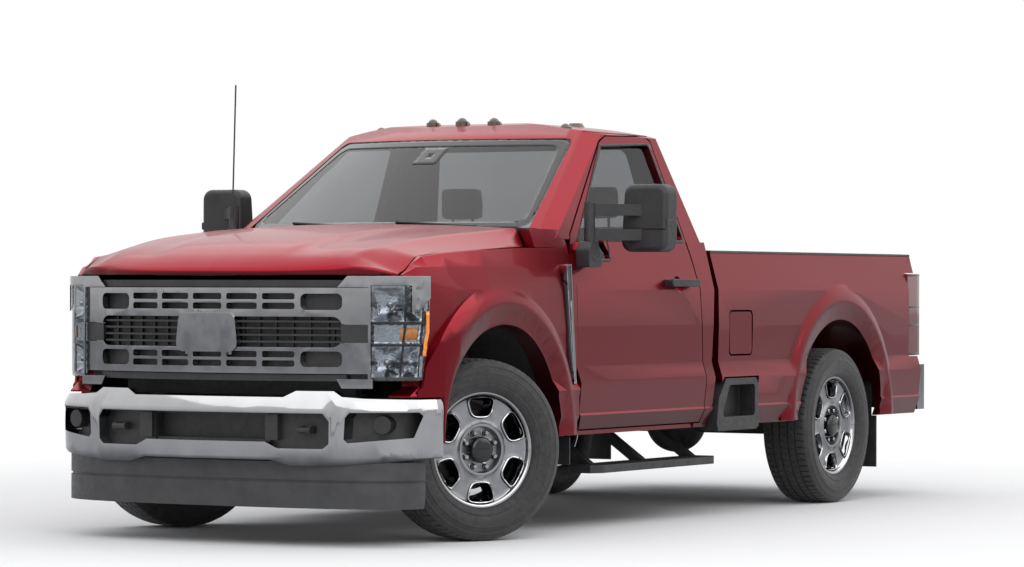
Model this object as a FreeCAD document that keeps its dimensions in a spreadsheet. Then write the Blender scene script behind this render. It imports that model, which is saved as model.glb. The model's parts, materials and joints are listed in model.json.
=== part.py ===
import FreeCAD, Part
import math
import os

# Heavy-duty regular-cab pickup with an eight-foot box, parked with its front wheels turned right.
# Frame: +X forward, +Y left, +Z up, origin under the middle of the whole truck, at floor level.

Vector = FreeCAD.Vector
Placement = FreeCAD.Placement
Rotation = FreeCAD.Rotation

doc = FreeCAD.newDocument("pickup_truck")
nodes = []

# Driving dimensions, in millimetres and degrees.
DRIVING_SIZES = [
    ("front_x", 2944), ("rear_x", -2944),
    ("front_axle_x", 1974), ("wheelbase", 3597),
    ("front_half_track", 867.5), ("rear_half_track", 853.5),
    ("steered_angle", -27.3),
    ("tyre_radius", 414), ("tyre_half_width", 137.5), ("tread_half_width", 112),
    ("flange_radius", 262), ("flange_half_width", 108), ("bead_radius", 250),
    ("barrel_radius", 227), ("barrel_wall", 8),
    ("lug_circle_radius", 85), ("lug_count", 8), ("lug_nut_radius", 13),
    ("window_count", 6), ("hub_cap_radius", 58),
    ("brake_radius", 178), ("spindle_radius", 30),
    ("kingpin_half_track", 735), ("kingpin_radius", 15), ("steering_arm", 190), ("tie_rod_z", 350),
    ("rail_half_gap", 400), ("rail_width", 70), ("rail_height", 165), ("rail_wall", 10),
    ("rail_low_z", 440), ("rail_high_z", 500), ("rail_length", 5330),
    ("arch_radius", 515), ("arch_z", 468),
    ("body_bottom_z", 455), ("belt_z", 1380), ("belt_half_width", 925),
    ("roof_z", 1975), ("roof_half_width", 740),
    ("door_wall", 105), ("skin_wall", 30), ("pillar_wall", 55), ("glass_wall", 5),
    ("door_hinge_x", 1262), ("door_hinge_y", 1003), ("hood_hinge_x", 1611), ("hood_hinge_z", 1440),
    ("tailgate_hinge_x", -2728), ("tailgate_hinge_z", 800), ("fuel_hinge_x", -315.5),
    ("fuel_hinge_y", 984.5),
    ("door_front_x", 1284), ("door_rear_x", 34), ("door_gap", 7), ("door_bottom_z", 482),
    ("cab_rear_x", -148), ("floor_z", 660),
    ("box_front_x", -185), ("box_rear_x", -2690), ("rail_top_z", 1330),
    ("box_floor_z", 812), ("box_inner_half_width", 850), ("wheelhouse_half_gap", 642),
    ("tailgate_half_width", 775), ("tailgate_wall", 56), ("tailgate_bottom_z", 790),
    ("bumper_top_z", 676), ("bumper_bottom_z", 378),
    ("hitch_socket", 63.5), ("hitch_ball_hole_radius", 12.7),
    ("running_board_x", 1046), ("running_board_length", 1290),
    ("running_board_width", 165), ("running_board_height", 38),
]


def make_sheet():
    sheet = doc.addObject("Spreadsheet::Sheet", "Sizes")
    for row, (alias, value) in enumerate(DRIVING_SIZES, start=1):
        sheet.set("A%d" % row, alias)
        sheet.set("B%d" % row, str(value))
        sheet.setAlias("B%d" % row, alias)
    doc.recompute()
    return sheet


sheet = make_sheet()


def size(alias):
    return float(sheet.get(alias))


def keep(thing, label):
    """Name a finished sub-part, so that it is written under that name."""
    thing.Label = label
    nodes.append(thing)
    return thing


def keep_shape(label, shape):
    """Hold a shape made by direct geometry as a sub-part of the document."""
    feature = doc.addObject("Part::Feature", label)
    feature.Shape = shape
    return keep(feature, label)


# Plain solids from outlines.

def closed_face(corners):
    return Part.Face(Part.makePolygon(corners + corners[:1]))


def prism_along_x(outline, low, high):
    """Extrude a (y, z) outline from low to high along X."""
    face = closed_face([Vector(low, y, z) for y, z in outline])
    return face.extrude(Vector(high - low, 0, 0))


def prism_along_y(outline, low, high):
    """Extrude an (x, z) outline from low to high along Y."""
    face = closed_face([Vector(x, low, z) for x, z in outline])
    return face.extrude(Vector(0, high - low, 0))


def prism_along_z(outline, low, high):
    """Extrude an (x, y) outline from low to high along Z."""
    face = closed_face([Vector(x, y, low) for x, y in outline])
    return face.extrude(Vector(0, 0, high - low))


def block(x_range, y_range, z_range):
    return Part.makeBox(
        x_range[1] - x_range[0], y_range[1] - y_range[0], z_range[1] - z_range[0],
        Vector(x_range[0], y_range[0], z_range[0]))


def rod(start, end, radius):
    start = Vector(*start)
    end = Vector(*end)
    return Part.makeCylinder(radius, (end - start).Length, start, end - start)


def fused(shapes):
    return shapes[0].multiFuse(shapes[1:]).removeSplitter()


def other_side(shape):
    return shape.mirror(Vector(0, 0, 0), Vector(0, 1, 0))


def both_sides(shape):
    return Part.makeCompound([shape, other_side(shape)])


def rounded_outline(corners, radius):
    """A closed outline in 3-D whose corners are all rounded by the same radius."""
    edges = []
    count = len(corners)
    trimmed = []
    for index, corner in enumerate(corners):
        to_last = (corners[index - 1] - corner).normalize()
        to_next = (corners[(index + 1) % count] - corner).normalize()
        half = to_last.getAngle(to_next) / 2
        reach = radius / math.tan(half)
        middle = (to_last + to_next).normalize() * (radius / math.sin(half) - radius)
        trimmed.append((corner + to_last * reach, corner + middle, corner + to_next * reach))
    for index, (begin, middle, end) in enumerate(trimmed):
        edges.append(Part.Arc(begin, middle, end).toShape())
        edges.append(Part.LineSegment(end, trimmed[(index + 1) % count][0]).toShape())
    return Part.Face(Part.Wire(edges))


def rounded_window_y(outline, radius, low, high):
    """Extrude an (x, z) outline with rounded corners along Y."""
    face = rounded_outline([Vector(x, low, z) for x, z in outline], radius)
    return face.extrude(Vector(0, high - low, 0))


def rounded_window_x(outline, radius, low, high):
    """Extrude a (y, z) outline with rounded corners along X."""
    face = rounded_outline([Vector(low, y, z) for y, z in outline], radius)
    return face.extrude(Vector(high - low, 0, 0))


def spline_band(front_points, thickness, low, high):
    """A wall that stands on a smooth plan curve, from low to high, with its depth towards -X."""
    front = Part.BSplineCurve()
    front.interpolate([Vector(x, y, low) for x, y in front_points])
    front = front.toShape()
    back = front.copy()
    back.translate(Vector(-thickness, 0, 0))
    first = front.Vertexes[0].Point
    last = front.Vertexes[-1].Point
    back_first = back.Vertexes[0].Point
    back_last = back.Vertexes[-1].Point
    wire = Part.Wire([
        front,
        Part.makeLine(last, back_last),
        back,
        Part.makeLine(back_first, first)])
    return Part.Face(wire).extrude(Vector(0, 0, high - low))


# The shape of the body's side.

LOW_CREASE_Z = 548
BAND_LOW_Z = 700
BAND_HIGH_Z = 782
SHOULDER_Z = 1142
BUMPER_END_X = 2505
BUMPER_CREASE_Z = 617
TRUNNION_RADIUS = 9


def side_outline(z_top, inner_low, inner_high, inset=0):
    """The (y, z) outline of the body side: tapered sill, upward chamfer band, shoulder and tumblehome."""
    lean = (990 - size("belt_half_width")) / (size("belt_z") - SHOULDER_Z)
    top_y = 990 - lean * (z_top - SHOULDER_Z)
    outer = [
        (972, size("body_bottom_z")), (1006, LOW_CREASE_Z), (999, LOW_CREASE_Z + 10),
        (1013, BAND_LOW_Z), (988, BAND_HIGH_Z), (993, 960), (990, SHOULDER_Z), (top_y, z_top)]
    outer = [(y - inset, z) for y, z in outer]
    return outer + [(inner_high, z_top), (inner_low, size("body_bottom_z"))]


def arch_cutter(axle_x, y_low=600, y_high=1100, grow=0):
    """What the round wheel opening takes out of a side panel."""
    radius = size("arch_radius") + grow
    centre = Vector(axle_x, y_low, size("arch_z"))
    round_top = Part.makeCylinder(radius, y_high - y_low, centre, Vector(0, 1, 0))
    below = block((axle_x - radius, axle_x + radius), (y_low, y_high), (-300, size("arch_z")))
    return round_top.fuse(below)


def arch_flare(axle_x, inner_y):
    """The wheel opening's flare: a lip that leans outward, then a soft slope back to the body side."""
    arch = size("arch_radius")
    profile = [
        (arch, inner_y), (arch, 991), (arch + 87, 1017), (arch + 112, 1015), (arch + 150, 1004),
        (arch + 190, 984), (arch + 190, inner_y)]
    corners = [Vector(axle_x + radius, y, size("arch_z")) for radius, y in profile]
    ring = closed_face(corners).revolve(Vector(axle_x, 0, size("arch_z")), Vector(0, 1, 0), 360)
    below = block((axle_x - 900, axle_x + 900), (900, 1100), (-300, size("body_bottom_z") + 5))
    return ring.cut(below)


# Wheels and tyres.

def plane_of(body, role):
    for feature in body.Origin.OriginFeatures:
        if feature.Role == role:
            return feature
    raise RuntimeError("no plane " + role)


def sketch_on(body, role, name, offset=0):
    sketch = body.newObject("Sketcher::SketchObject", name)
    sketch.AttachmentSupport = [(plane_of(body, role), "")]
    sketch.MapMode = "FlatFace"
    sketch.AttachmentOffset = Placement(Vector(0, 0, offset), Rotation())
    return sketch


def draw_loop(sketch, points):
    for first, second in zip(points, points[1:] + points[:1]):
        sketch.addGeometry(Part.LineSegment(Vector(*first, 0), Vector(*second, 0)), False)


def revolve_loop(body, name, points, kind="PartDesign::Revolution"):
    """Turn a (radius, along-axle) loop about the body's own Y axis."""
    sketch = sketch_on(body, "XY_Plane", name + "_profile")
    draw_loop(sketch, points)
    turned = body.newObject(kind, name)
    turned.Profile = sketch
    turned.ReferenceAxis = (sketch, ["V_Axis"])
    turned.Angle = 360
    doc.recompute()
    return turned


def rim_section():
    """Barrel with its drop centre, both flanges, dished face, hub and brake disc, as one turned section."""
    flange = size("flange_radius")
    half = size("flange_half_width")
    bead = size("bead_radius")
    barrel = size("barrel_radius")
    wall = size("barrel_wall")
    spindle = size("spindle_radius") + 0.06
    brake = size("brake_radius")
    cap = size("hub_cap_radius")
    return [
        (flange, half), (flange, half - 10), (bead, half - 10), (bead - 3, 62),
        (barrel, 40), (barrel, -60), (bead - 3, 10 - half + 22), (bead, 10 - half),
        (flange, 10 - half), (flange, -half), (bead - 2, -half), (bead - 14, 20 - half),
        (barrel - wall, -50), (barrel - wall, 34), (150, 52), (128, 40), (100, 40),
        (92, 12), (92, -10), (brake, -10), (brake, -38), (70, -38), (70, -50), (spindle, -50),
        (spindle, 70), (0, 70), (0, 104), (cap - 14, 104), (cap, 96), (cap, 66), (112, 62),
        (136, 84), (186, 88), (226, 74), (bead - 8, 84), (flange - 9, half)]


def window_loop():
    """One of the large openings between the spokes, drawn with its wide end outward."""
    inner_radius = 140
    outer_radius = 226
    inner_half = math.radians(10)
    outer_half = math.radians(22)
    shoulder = math.radians(17)
    middle_radius = 172
    loop = [
        (inner_radius, -inner_half), (middle_radius, -outer_half), (outer_radius - 14, -outer_half),
        (outer_radius, -shoulder), (outer_radius, 0), (outer_radius, shoulder),
        (outer_radius - 14, outer_half), (middle_radius, outer_half), (inner_radius, inner_half)]
    return [(r * math.sin(a), r * math.cos(a)) for r, a in loop]


def make_wheel(label):
    """Pressed and machined rim with its hub and brake disc; the outer face looks along +Y."""
    body = doc.addObject("PartDesign::Body", label)
    revolve_loop(body, label + "_turned", rim_section())
    windows = sketch_on(body, "XZ_Plane", label + "_window_profile", -150)
    draw_loop(windows, window_loop())
    pocket = body.newObject("PartDesign::Pocket", label + "_window")
    pocket.Profile = windows
    pocket.Length = 112
    doc.recompute()
    around = body.newObject("PartDesign::PolarPattern", label + "_windows")
    around.Originals = [pocket]
    around.Axis = (windows, ["N_Axis"])
    around.Angle = 360
    around.setExpression("Occurrences", "<<Sizes>>.window_count")
    body.Tip = around
    doc.recompute()
    nut = body.newObject("PartDesign::AdditiveCylinder", label + "_lug_nut")
    nut.setExpression("Radius", "<<Sizes>>.lug_nut_radius")
    nut.Height = 34
    nut.AttachmentSupport = [(plane_of(body, "XZ_Plane"), "")]
    nut.MapMode = "FlatFace"
    nut.AttachmentOffset = Placement(Vector(size("lug_circle_radius"), 0, -88), Rotation())
    doc.recompute()
    nuts = body.newObject("PartDesign::PolarPattern", label + "_lug_nuts")
    nuts.Originals = [nut]
    nuts.Axis = (windows, ["N_Axis"])
    nuts.Angle = 360
    nuts.setExpression("Occurrences", "<<Sizes>>.lug_count")
    body.Tip = nuts
    doc.recompute()
    return keep(body, label)


def tyre_section():
    """Tyre ring: beads, bulged walls and rounded shoulders."""
    bead = size("bead_radius") + 0.3
    half = size("tyre_half_width")
    tread = size("tread_half_width")
    radius = size("tyre_radius")
    seat = size("flange_half_width") - 10
    flange = size("flange_radius") + 0.5
    upper = [
        (bead, seat), (flange, seat), (flange + 8, seat + 14), (300, half - 8), (338, half),
        (372, half - 7), (radius - 16, tread + 8), (radius - 5, tread - 4), (radius, tread - 26)]
    lower = [(r, -y) for r, y in reversed(upper)]
    return upper + lower


def make_tyre(label):
    body = doc.addObject("PartDesign::Body", label)
    revolve_loop(body, label + "_turned", tyre_section())
    return keep(body, label)


def wheel_places():
    """Each wheel's name, its centre, and the turn about Z that faces it outward and steers it."""
    height = size("tyre_radius")
    front_x = size("front_axle_x")
    rear_x = front_x - size("wheelbase")
    steered = size("steered_angle")
    pin = size("kingpin_half_track")
    reach = size("front_half_track") - pin
    angle = math.radians(steered)
    shift_x = -reach * math.sin(angle)
    shift_y = reach * math.cos(angle)
    return {
        "front_left": (Vector(front_x + shift_x, pin + shift_y, height), steered),
        "front_right": (Vector(front_x - shift_x, -pin - shift_y, height), steered + 180),
        "rear_left": (Vector(rear_x, size("rear_half_track"), height), 0),
        "rear_right": (Vector(rear_x, -size("rear_half_track"), height), 180)}


def make_wheels():
    for name, (centre, turn) in wheel_places().items():
        place = Placement(centre, Rotation(Vector(0, 0, 1), turn))
        wheel = make_wheel("wheel_" + name)
        wheel.Placement = place
        tyre = make_tyre("tyre_" + name)
        tyre.Placement = place


# Steering knuckles and tie rod.

def knuckle_shape():
    """Left knuckle, straight ahead: kingpin bosses, web, spindle, brake shield and steering arm."""
    axle_x = size("front_axle_x")
    pin_y = size("kingpin_half_track")
    centre_z = size("tyre_radius")
    arm = size("steering_arm")
    wheel_y = size("front_half_track")
    rod_z = size("tie_rod_z")
    bosses = []
    for side in (1, -1):
        low = 76.5 if side > 0 else -116.5
        bosses.append(Part.makeCylinder(30, 40, Vector(axle_x, pin_y, centre_z + low)))
        pin_start = centre_z + (36 if side > 0 else -116)
        bosses.append(Part.makeCylinder(size("kingpin_radius"), 80, Vector(axle_x, pin_y, pin_start)))
    web = block((axle_x - 45, axle_x + 45), (pin_y + 34, pin_y + 62), (centre_z - 116, centre_z + 116))
    arms = [
        block((axle_x - 24, axle_x + 24), (pin_y, pin_y + 50), (centre_z + 84, centre_z + 116)),
        block((axle_x - 24, axle_x + 24), (pin_y, pin_y + 50), (centre_z - 116, centre_z - 84))]
    spindle = rod((axle_x, pin_y + 50, centre_z), (axle_x, wheel_y + 62, centre_z), size("spindle_radius"))
    hub_seat = rod((axle_x, pin_y + 50, centre_z), (axle_x, wheel_y - 56, centre_z), 58)
    steering = prism_along_z([
        (axle_x + 20, pin_y + 36), (axle_x + 20, pin_y + 60), (axle_x + 80, pin_y + 50),
        (axle_x + arm, pin_y + 14), (axle_x + arm, pin_y - 14), (axle_x + 70, pin_y + 22)],
        rod_z + 18, rod_z + 40)
    eye = Part.makeCylinder(17, 22, Vector(axle_x + arm, pin_y, rod_z + 18))
    stud = Part.makeCylinder(8, 36, Vector(axle_x + arm, pin_y, rod_z - 18))
    caliper = block((axle_x - 190, axle_x - 120), (wheel_y - 52, wheel_y - 44),
        (centre_z - 60, centre_z + 60))
    bridge = block((axle_x - 205, axle_x - 184), (wheel_y - 52, wheel_y - 4), (centre_z - 50, centre_z + 50))
    bracket = block((axle_x - 150, axle_x), (pin_y + 50, pin_y + 62), (centre_z - 40, centre_z + 40))
    joiner = block((axle_x - 150, axle_x - 130), (pin_y + 50, wheel_y - 44), (centre_z - 40, centre_z + 40))
    return fused(bosses + arms + [web, spindle, hub_seat, steering, eye, stud, caliper, bridge, bracket,
        joiner])


def make_knuckles():
    axle_x = size("front_axle_x")
    pin_y = size("kingpin_half_track")
    left = knuckle_shape()
    right = other_side(left)
    for label, shape, side in (("knuckle_left", left, 1), ("knuckle_right", right, -1)):
        turned = shape.copy()
        turned.rotate(Vector(axle_x, side * pin_y, 0), Vector(0, 0, 1), size("steered_angle"))
        keep_shape(label, turned)


def make_tie_rod():
    """Straight tube between the steering arms' studs, with an eye at each end."""
    axle_x = size("front_axle_x")
    pin_y = size("kingpin_half_track")
    angle = math.radians(size("steered_angle"))
    end_x = axle_x + size("steering_arm") * math.cos(angle)
    shift = size("steering_arm") * math.sin(angle)
    rod_z = size("tie_rod_z")
    eyes = []
    holes = []
    for side in (1, -1):
        centre = Vector(end_x, side * pin_y + shift, rod_z - 15)
        eyes.append(Part.makeCylinder(20, 30, centre))
        holes.append(Part.makeCylinder(8.3, 60, centre - Vector(0, 0, 15)))
    tube = rod((end_x, -pin_y + shift, rod_z), (end_x, pin_y + shift, rod_z), 14)
    shape = fused(eyes + [tube])
    for hole in holes:
        shape = shape.cut(hole)
    keep_shape("tie_rod", shape)


# Chassis.

def rail_outline(inset):
    """Side view of a frame rail, kicked up over both axles."""
    half = size("rail_length") / 2 - inset
    low = size("rail_low_z") + inset
    high = size("rail_high_z") + inset
    tall = size("rail_height") - 2 * inset
    bottom = [(-half, high), (-1000, high), (-700, low), (1400, low), (1620, high), (half, high)]
    return bottom + [(x, z + tall) for x, z in reversed(bottom)]


def make_frame():
    """Ladder frame: two kicked-up channels, cross members, body mounts, bumper horns and hitch receiver."""
    gap = size("rail_half_gap")
    outer = gap + size("rail_width")
    wall = size("rail_wall")
    rail = prism_along_y(rail_outline(0), gap, outer)
    rail = rail.cut(prism_along_y(rail_outline(wall), gap, outer - wall))
    web = outer - 8
    cross_members = [
        block((x - 35, x + 35), (-web, web), (low, high))
        for x, low, high in (
            (2560, 512, 653), (330, 572, 594), (-620, 572, 594), (-1130, 600, 653), (-2080, 570, 653),
            (-2600, 512, 653))]
    gearbox_beam = block((930, 1000), (-web, web), (425, 449))
    one_side = [
        rail,
        block((2640, 2836), (405, 465), (520, 640)),
        block((1850, 1930), (310, web), (560, 600))]
    for x in (1250, 60):
        one_side.append(Part.makeCylinder(34, 17,
            Vector(x, 435, size("rail_low_z") + size("rail_height") - 2)))
    receiver_outer = block((-2905, -2560), (-41, 41), (455, 537))
    half_socket = size("hitch_socket") / 2
    socket = block((-2906, -2700), (-half_socket, half_socket), (496 - half_socket, 496 + half_socket))
    receiver = receiver_outer.cut(socket)
    receiver_beam = block((-2640, -2570), (-430, 430), (440, 545))
    tank_strap = [
        block((-300, -250), (100, outer - 5), (419, 430)),
        block((-300, -250), (gap + 2, outer - 5), (419, 442))]
    parts = [receiver, receiver_beam, gearbox_beam] + tank_strap + cross_members
    for piece in one_side:
        parts += [piece, other_side(piece)]
    keep_shape("frame_rails", fused(parts))


def make_front_axle():
    """Solid driving axle: tube, offset differential and the forks that hold the kingpins."""
    axle_x = size("front_axle_x")
    z = size("tyre_radius")
    pin_y = size("kingpin_half_track")
    tube = rod((axle_x, -pin_y + 42, z), (axle_x, pin_y - 42, z), 42)
    ball = Part.makeSphere(130, Vector(axle_x - 30, 230, z))
    nose = rod((axle_x - 30, 230, z), (axle_x - 215, 230, z + 20), 55)
    parts = [tube, ball, nose]
    for side in (1, -1):
        back = block((axle_x - 40, axle_x + 40), sorted((side * (pin_y - 62), side * (pin_y - 34))),
            (z - 76, z + 76))
        parts.append(back)
        for low in (z + 40, z - 76):
            ear = block((axle_x - 26, axle_x + 26), sorted((side * (pin_y - 60), side * pin_y)),
                (low, low + 36))
            eye = Part.makeCylinder(26, 36, Vector(axle_x, side * pin_y, low))
            parts += [ear, eye]
        parts.append(block((axle_x - 70, axle_x + 60), sorted((side * 500, side * 600)), (z, z + 48)))
    shape = fused(parts)
    for side in (1, -1):
        bore = Part.makeCylinder(size("kingpin_radius") + 0.08, 200, Vector(axle_x, side * pin_y, z - 100))
        shape = shape.cut(bore)
    keep_shape("front_axle", shape)


def make_rear_axle():
    axle_x = size("front_axle_x") - size("wheelbase")
    z = size("tyre_radius")
    half = size("rear_half_track")
    ball = Part.makeSphere(165, Vector(axle_x, 0, z))
    tube = rod((axle_x, -half + 60, z), (axle_x, half - 60, z), 55)
    nose = rod((axle_x, 0, z), (axle_x + 260, 0, z + 15), 70)
    spindle = rod((axle_x, -half - 62, z), (axle_x, half + 62, z), size("spindle_radius"))
    parts = [tube, ball, nose, spindle]
    for side in (1, -1):
        parts.append(rod((axle_x, side * (half - 62), z), (axle_x, side * (half - 52), z), 150))
        parts.append(block((axle_x - 70, axle_x + 70), sorted((side * 568, side * 492)), (z, z + 58)))
    keep_shape("rear_axle", fused(parts))


def leaf_pack(side):
    """Bowed leaf spring over the rear axle, stepped in length, with its eyes and hangers."""
    axle_x = size("front_axle_x") - size("wheelbase")
    half_length = 760
    seat_z = size("tyre_radius") + 58
    rise = 85
    step = 13
    shares = (1.0, 0.78, 0.55, 0.34)
    leaves = []
    for index, share in enumerate(shares):
        reach = half_length * share
        top_z = seat_z + step * (len(shares) - index)
        lift = rise * share * share
        upper = Part.Arc(
            Vector(axle_x - reach, 0, top_z + lift), Vector(axle_x, 0, top_z),
            Vector(axle_x + reach, 0, top_z + lift)).toShape()
        lower = upper.copy()
        lower.translate(Vector(0, 0, -step))
        ends = [
            Part.makeLine(upper.Vertexes[0].Point, lower.Vertexes[0].Point),
            Part.makeLine(upper.Vertexes[-1].Point, lower.Vertexes[-1].Point)]
        face = Part.Face(Part.Wire(Part.__sortEdges__([upper, lower] + ends)))
        leaf = face.extrude(Vector(0, 76, 0))
        leaf.translate(Vector(0, side * 530 - 38, 0))
        leaves.append(leaf)
    eyes = []
    eye_z = seat_z + step * len(shares) + rise - 7
    for end in (1, -1):
        eye_x = axle_x + end * half_length
        eyes.append(Part.makeCylinder(28, 76, Vector(eye_x, side * 530 - 38, eye_z), Vector(0, 1, 0)))
        eyes.append(block((eye_x - 26, eye_x + 26), sorted((side * 470.5, side * 493)),
            (eye_z - 26, eye_z + 40)))
    return fused(leaves + eyes)


def turned_about(x, y, profile):
    """Turn a (radius, z) outline about the vertical line through x, y."""
    corners = [Vector(x + radius, y, z) for radius, z in profile]
    return closed_face(corners).revolve(Vector(x, y, 0), Vector(0, 0, 1), 360)


def coil_and_shock(side):
    """Ribbed coil over the front axle, its upper seat on the rail, and the shock absorber beside it."""
    axle_x = size("front_axle_x")
    foot = size("tyre_radius") + 48
    top = size("rail_high_z") + size("rail_height") - 6
    turns = 4
    pitch = (top - foot - 34) / turns
    profile = [(0, foot), (70, foot), (70, foot + 10), (50, foot + 14)]
    for turn in range(turns):
        low = foot + 16 + turn * pitch
        profile += [(50, low + 4), (64, low + 12), (64, low + 22), (50, low + 30)]
    profile += [(50, top - 12), (76, top - 8), (76, top), (0, top)]
    coil = turned_about(axle_x, side * 548, profile)
    shock_x = axle_x - 128
    shock = rod((shock_x, side * 560, foot - 28), (shock_x, side * 560, top), 26)
    upper = block((shock_x - 20, axle_x), sorted((side * 470.5, side * 560)), (top - 14, top))
    lower = block((shock_x - 20, axle_x - 70), sorted((side * 530, side * 590)), (foot - 28, foot - 6))
    return fused([coil, shock, upper, lower])


def make_springs():
    solids = []
    for side in (1, -1):
        solids.append(leaf_pack(side))
        solids.append(coil_and_shock(side))
    keep_shape("springs", Part.makeCompound(solids))


def make_engine():
    engine = doc.addObject("Part::Box", "engine")
    engine.Length = 760
    engine.Width = 620
    engine.Height = 540
    engine.Placement.Base = Vector(1560, -310, 560)
    keep(engine, "engine_block")


def make_driveline():
    """Gearbox with its bell housing, transfer case and the two propeller shafts."""
    bell = rod((1560, 0, 600), (1520, 0, 600), 185)
    gearbox = Part.makeCone(185, 112, 600, Vector(1521, 0, 600), Vector(-1, 0, -0.05))
    transfer = rod((940, 0, 566), (720, 0, 556), 114)
    drop = block((760, 900), (-60, 250), (455, 600))
    foot = block((940, 990), (-40, 40), (449, 500))
    rear_shaft = rod((730, 0, 530), (-1350, 0, 430), 42)
    front_shaft = rod((820, 215, 510), (1745, 230, 436), 32)
    front_out = rod((700, 215, 510), (900, 215, 510), 54)
    keep_shape("driveline", fused([bell, gearbox, transfer, drop, foot, rear_shaft, front_shaft, front_out]))


def make_tank():
    """Fuel tank inside the left rail."""
    outline = [(115, 430), (392, 430), (392, 602), (115, 602)]
    keep_shape("fuel_tank", rounded_window_x(outline, 40, -570, 285))


def pipe_run(points, radius):
    """A round pipe of straight runs with a ball at each turn."""
    parts = []
    for first, second in zip(points, points[1:]):
        parts.append(rod(first, second, radius))
    for point in points[1:-1]:
        parts.append(Part.makeSphere(radius, Vector(*point)))
    return parts


def make_exhaust():
    route = [
        (1450, -250, 545), (900, -260, 500), (-700, -260, 500), (-1250, -260, 545), (-1950, -260, 545),
        (-2150, -330, 440), (-2240, -560, 440), (-2330, -900, 425)]
    parts = pipe_run(route, 36)
    muffler = Part.makeCylinder(88, 560, Vector(-540, -260, 497), Vector(1, 0, 0))
    hangers = [block((-630, -610), (-266, -254), (520, 572)),
        block((-2090, -2070), (-310, -298), (470, 570))]
    keep_shape("exhaust", fused(parts + [muffler] + hangers))


# Cab.

def cab_section(z, inset):
    """Corners of the cab's plan at a height: bowed windscreen, sides and rounded back."""
    belt = size("belt_z")
    share = (z - belt) / (1900.0 - belt)
    half = size("belt_half_width") + share * (size("roof_half_width") - size("belt_half_width")) - inset
    front_centre = 1641 + share * (829 - 1641) - inset * 1.5
    front_corner = 1457 + share * (678 - 1457) - inset * 1.5
    corner_half = half - 58
    rear = size("cab_rear_x") + share * (-20 - size("cab_rear_x")) + inset
    return half, corner_half, front_centre, front_corner, rear


def cab_wire(z, inset):
    half, corner_half, front_centre, front_corner, rear = cab_section(z, inset)
    rear_turn = 45

    def point(x, y):
        return Vector(x, y, z)

    front = Part.Arc(
        point(front_corner, -corner_half), point(front_centre, 0),
        point(front_corner, corner_half)).toShape()
    loop = [
        point(front_corner, corner_half), point(front_corner - 75, half), point(rear + rear_turn, half),
        point(rear, half - rear_turn), point(rear, rear_turn - half), point(rear + rear_turn, -half),
        point(front_corner - 75, -half), point(front_corner, -corner_half)]
    sides = [Part.makeLine(first, second) for first, second in zip(loop, loop[1:])]
    return Part.Wire([front] + sides)


def roof_space(drop):
    """What lies under the crowned roof, lowered by drop."""
    top = size("roof_z") - drop
    along = Part.Arc(Vector(-400, -1000, top - 85), Vector(330, -1000, top),
        Vector(1100, -1000, top - 92)).toShape()
    side_loop = [along] + [
        Part.makeLine(Vector(1100, -1000, top - 92), Vector(1100, -1000, 1000)),
        Part.makeLine(Vector(1100, -1000, 1000), Vector(-400, -1000, 1000)),
        Part.makeLine(Vector(-400, -1000, 1000), Vector(-400, -1000, top - 85))]
    length_wise = Part.Face(Part.Wire(side_loop)).extrude(Vector(0, 2000, 0))
    front_part = block((1099, 1900), (-1000, 1000), (1000, 1850))
    length_wise = length_wise.fuse(front_part)
    across = Part.Arc(Vector(-500, -800, top - 88), Vector(-500, 0, top + 6),
        Vector(-500, 800, top - 88)).toShape()
    cross_loop = [across] + [
        Part.makeLine(Vector(-500, 800, top - 88), Vector(-500, 1000, 1300)),
        Part.makeLine(Vector(-500, 1000, 1300), Vector(-500, -1000, 1300)),
        Part.makeLine(Vector(-500, -1000, 1300), Vector(-500, -800, top - 88))]
    cross_wise = Part.Face(Part.Wire(cross_loop)).extrude(Vector(2500, 0, 0))
    return length_wise.common(cross_wise)


def greenhouse(inset, drop):
    """The cab above its belt line, as a solid inset on every side."""
    tall = Part.makeLoft([cab_wire(size("belt_z"), inset), cab_wire(1990, inset)], True, True)
    return tall.common(roof_space(drop))


def door_outline(gap=0.0):
    """The door's edge in side view, grown by a gap, from its lower front corner round to the top."""
    front = size("door_front_x") + gap
    rear = size("door_rear_x") - gap
    bottom = size("door_bottom_z") - gap
    return [
        (front - 6, bottom + 70), (front, BAND_HIGH_Z), (front, 1300), (front - 60, 1400 + gap),
        (640 + gap, 1862 + gap), (560, 1893 + gap), (150 - gap, 1905 + gap), (100 - gap, 1880 + gap),
        (rear + 22, 1400), (rear, 1290), (rear - 46, 800), (rear - 40, bottom + 70), (rear - 20, bottom),
        (front - 30, bottom)]


def window_outline(grow=0.0):
    """The side glass in side view, with its sill stepped down towards the mirror."""
    return [
        (1222 + grow * 2, 1290 - grow), (1150 + grow, 1400 + grow), (640 + grow, 1838 + grow),
        (140 - grow, 1862 + grow), (82 - grow, 1388 - grow), (930, 1388 - grow), (870 - grow, 1290 - grow)]


def lower_side(x_low, x_high, wall):
    """A stretch of the cab's side below the belt, one wall thick."""
    inner = 990 - wall
    return prism_along_x(side_outline(size("belt_z"), inner - 12, inner - 55), x_low, x_high)


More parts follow.
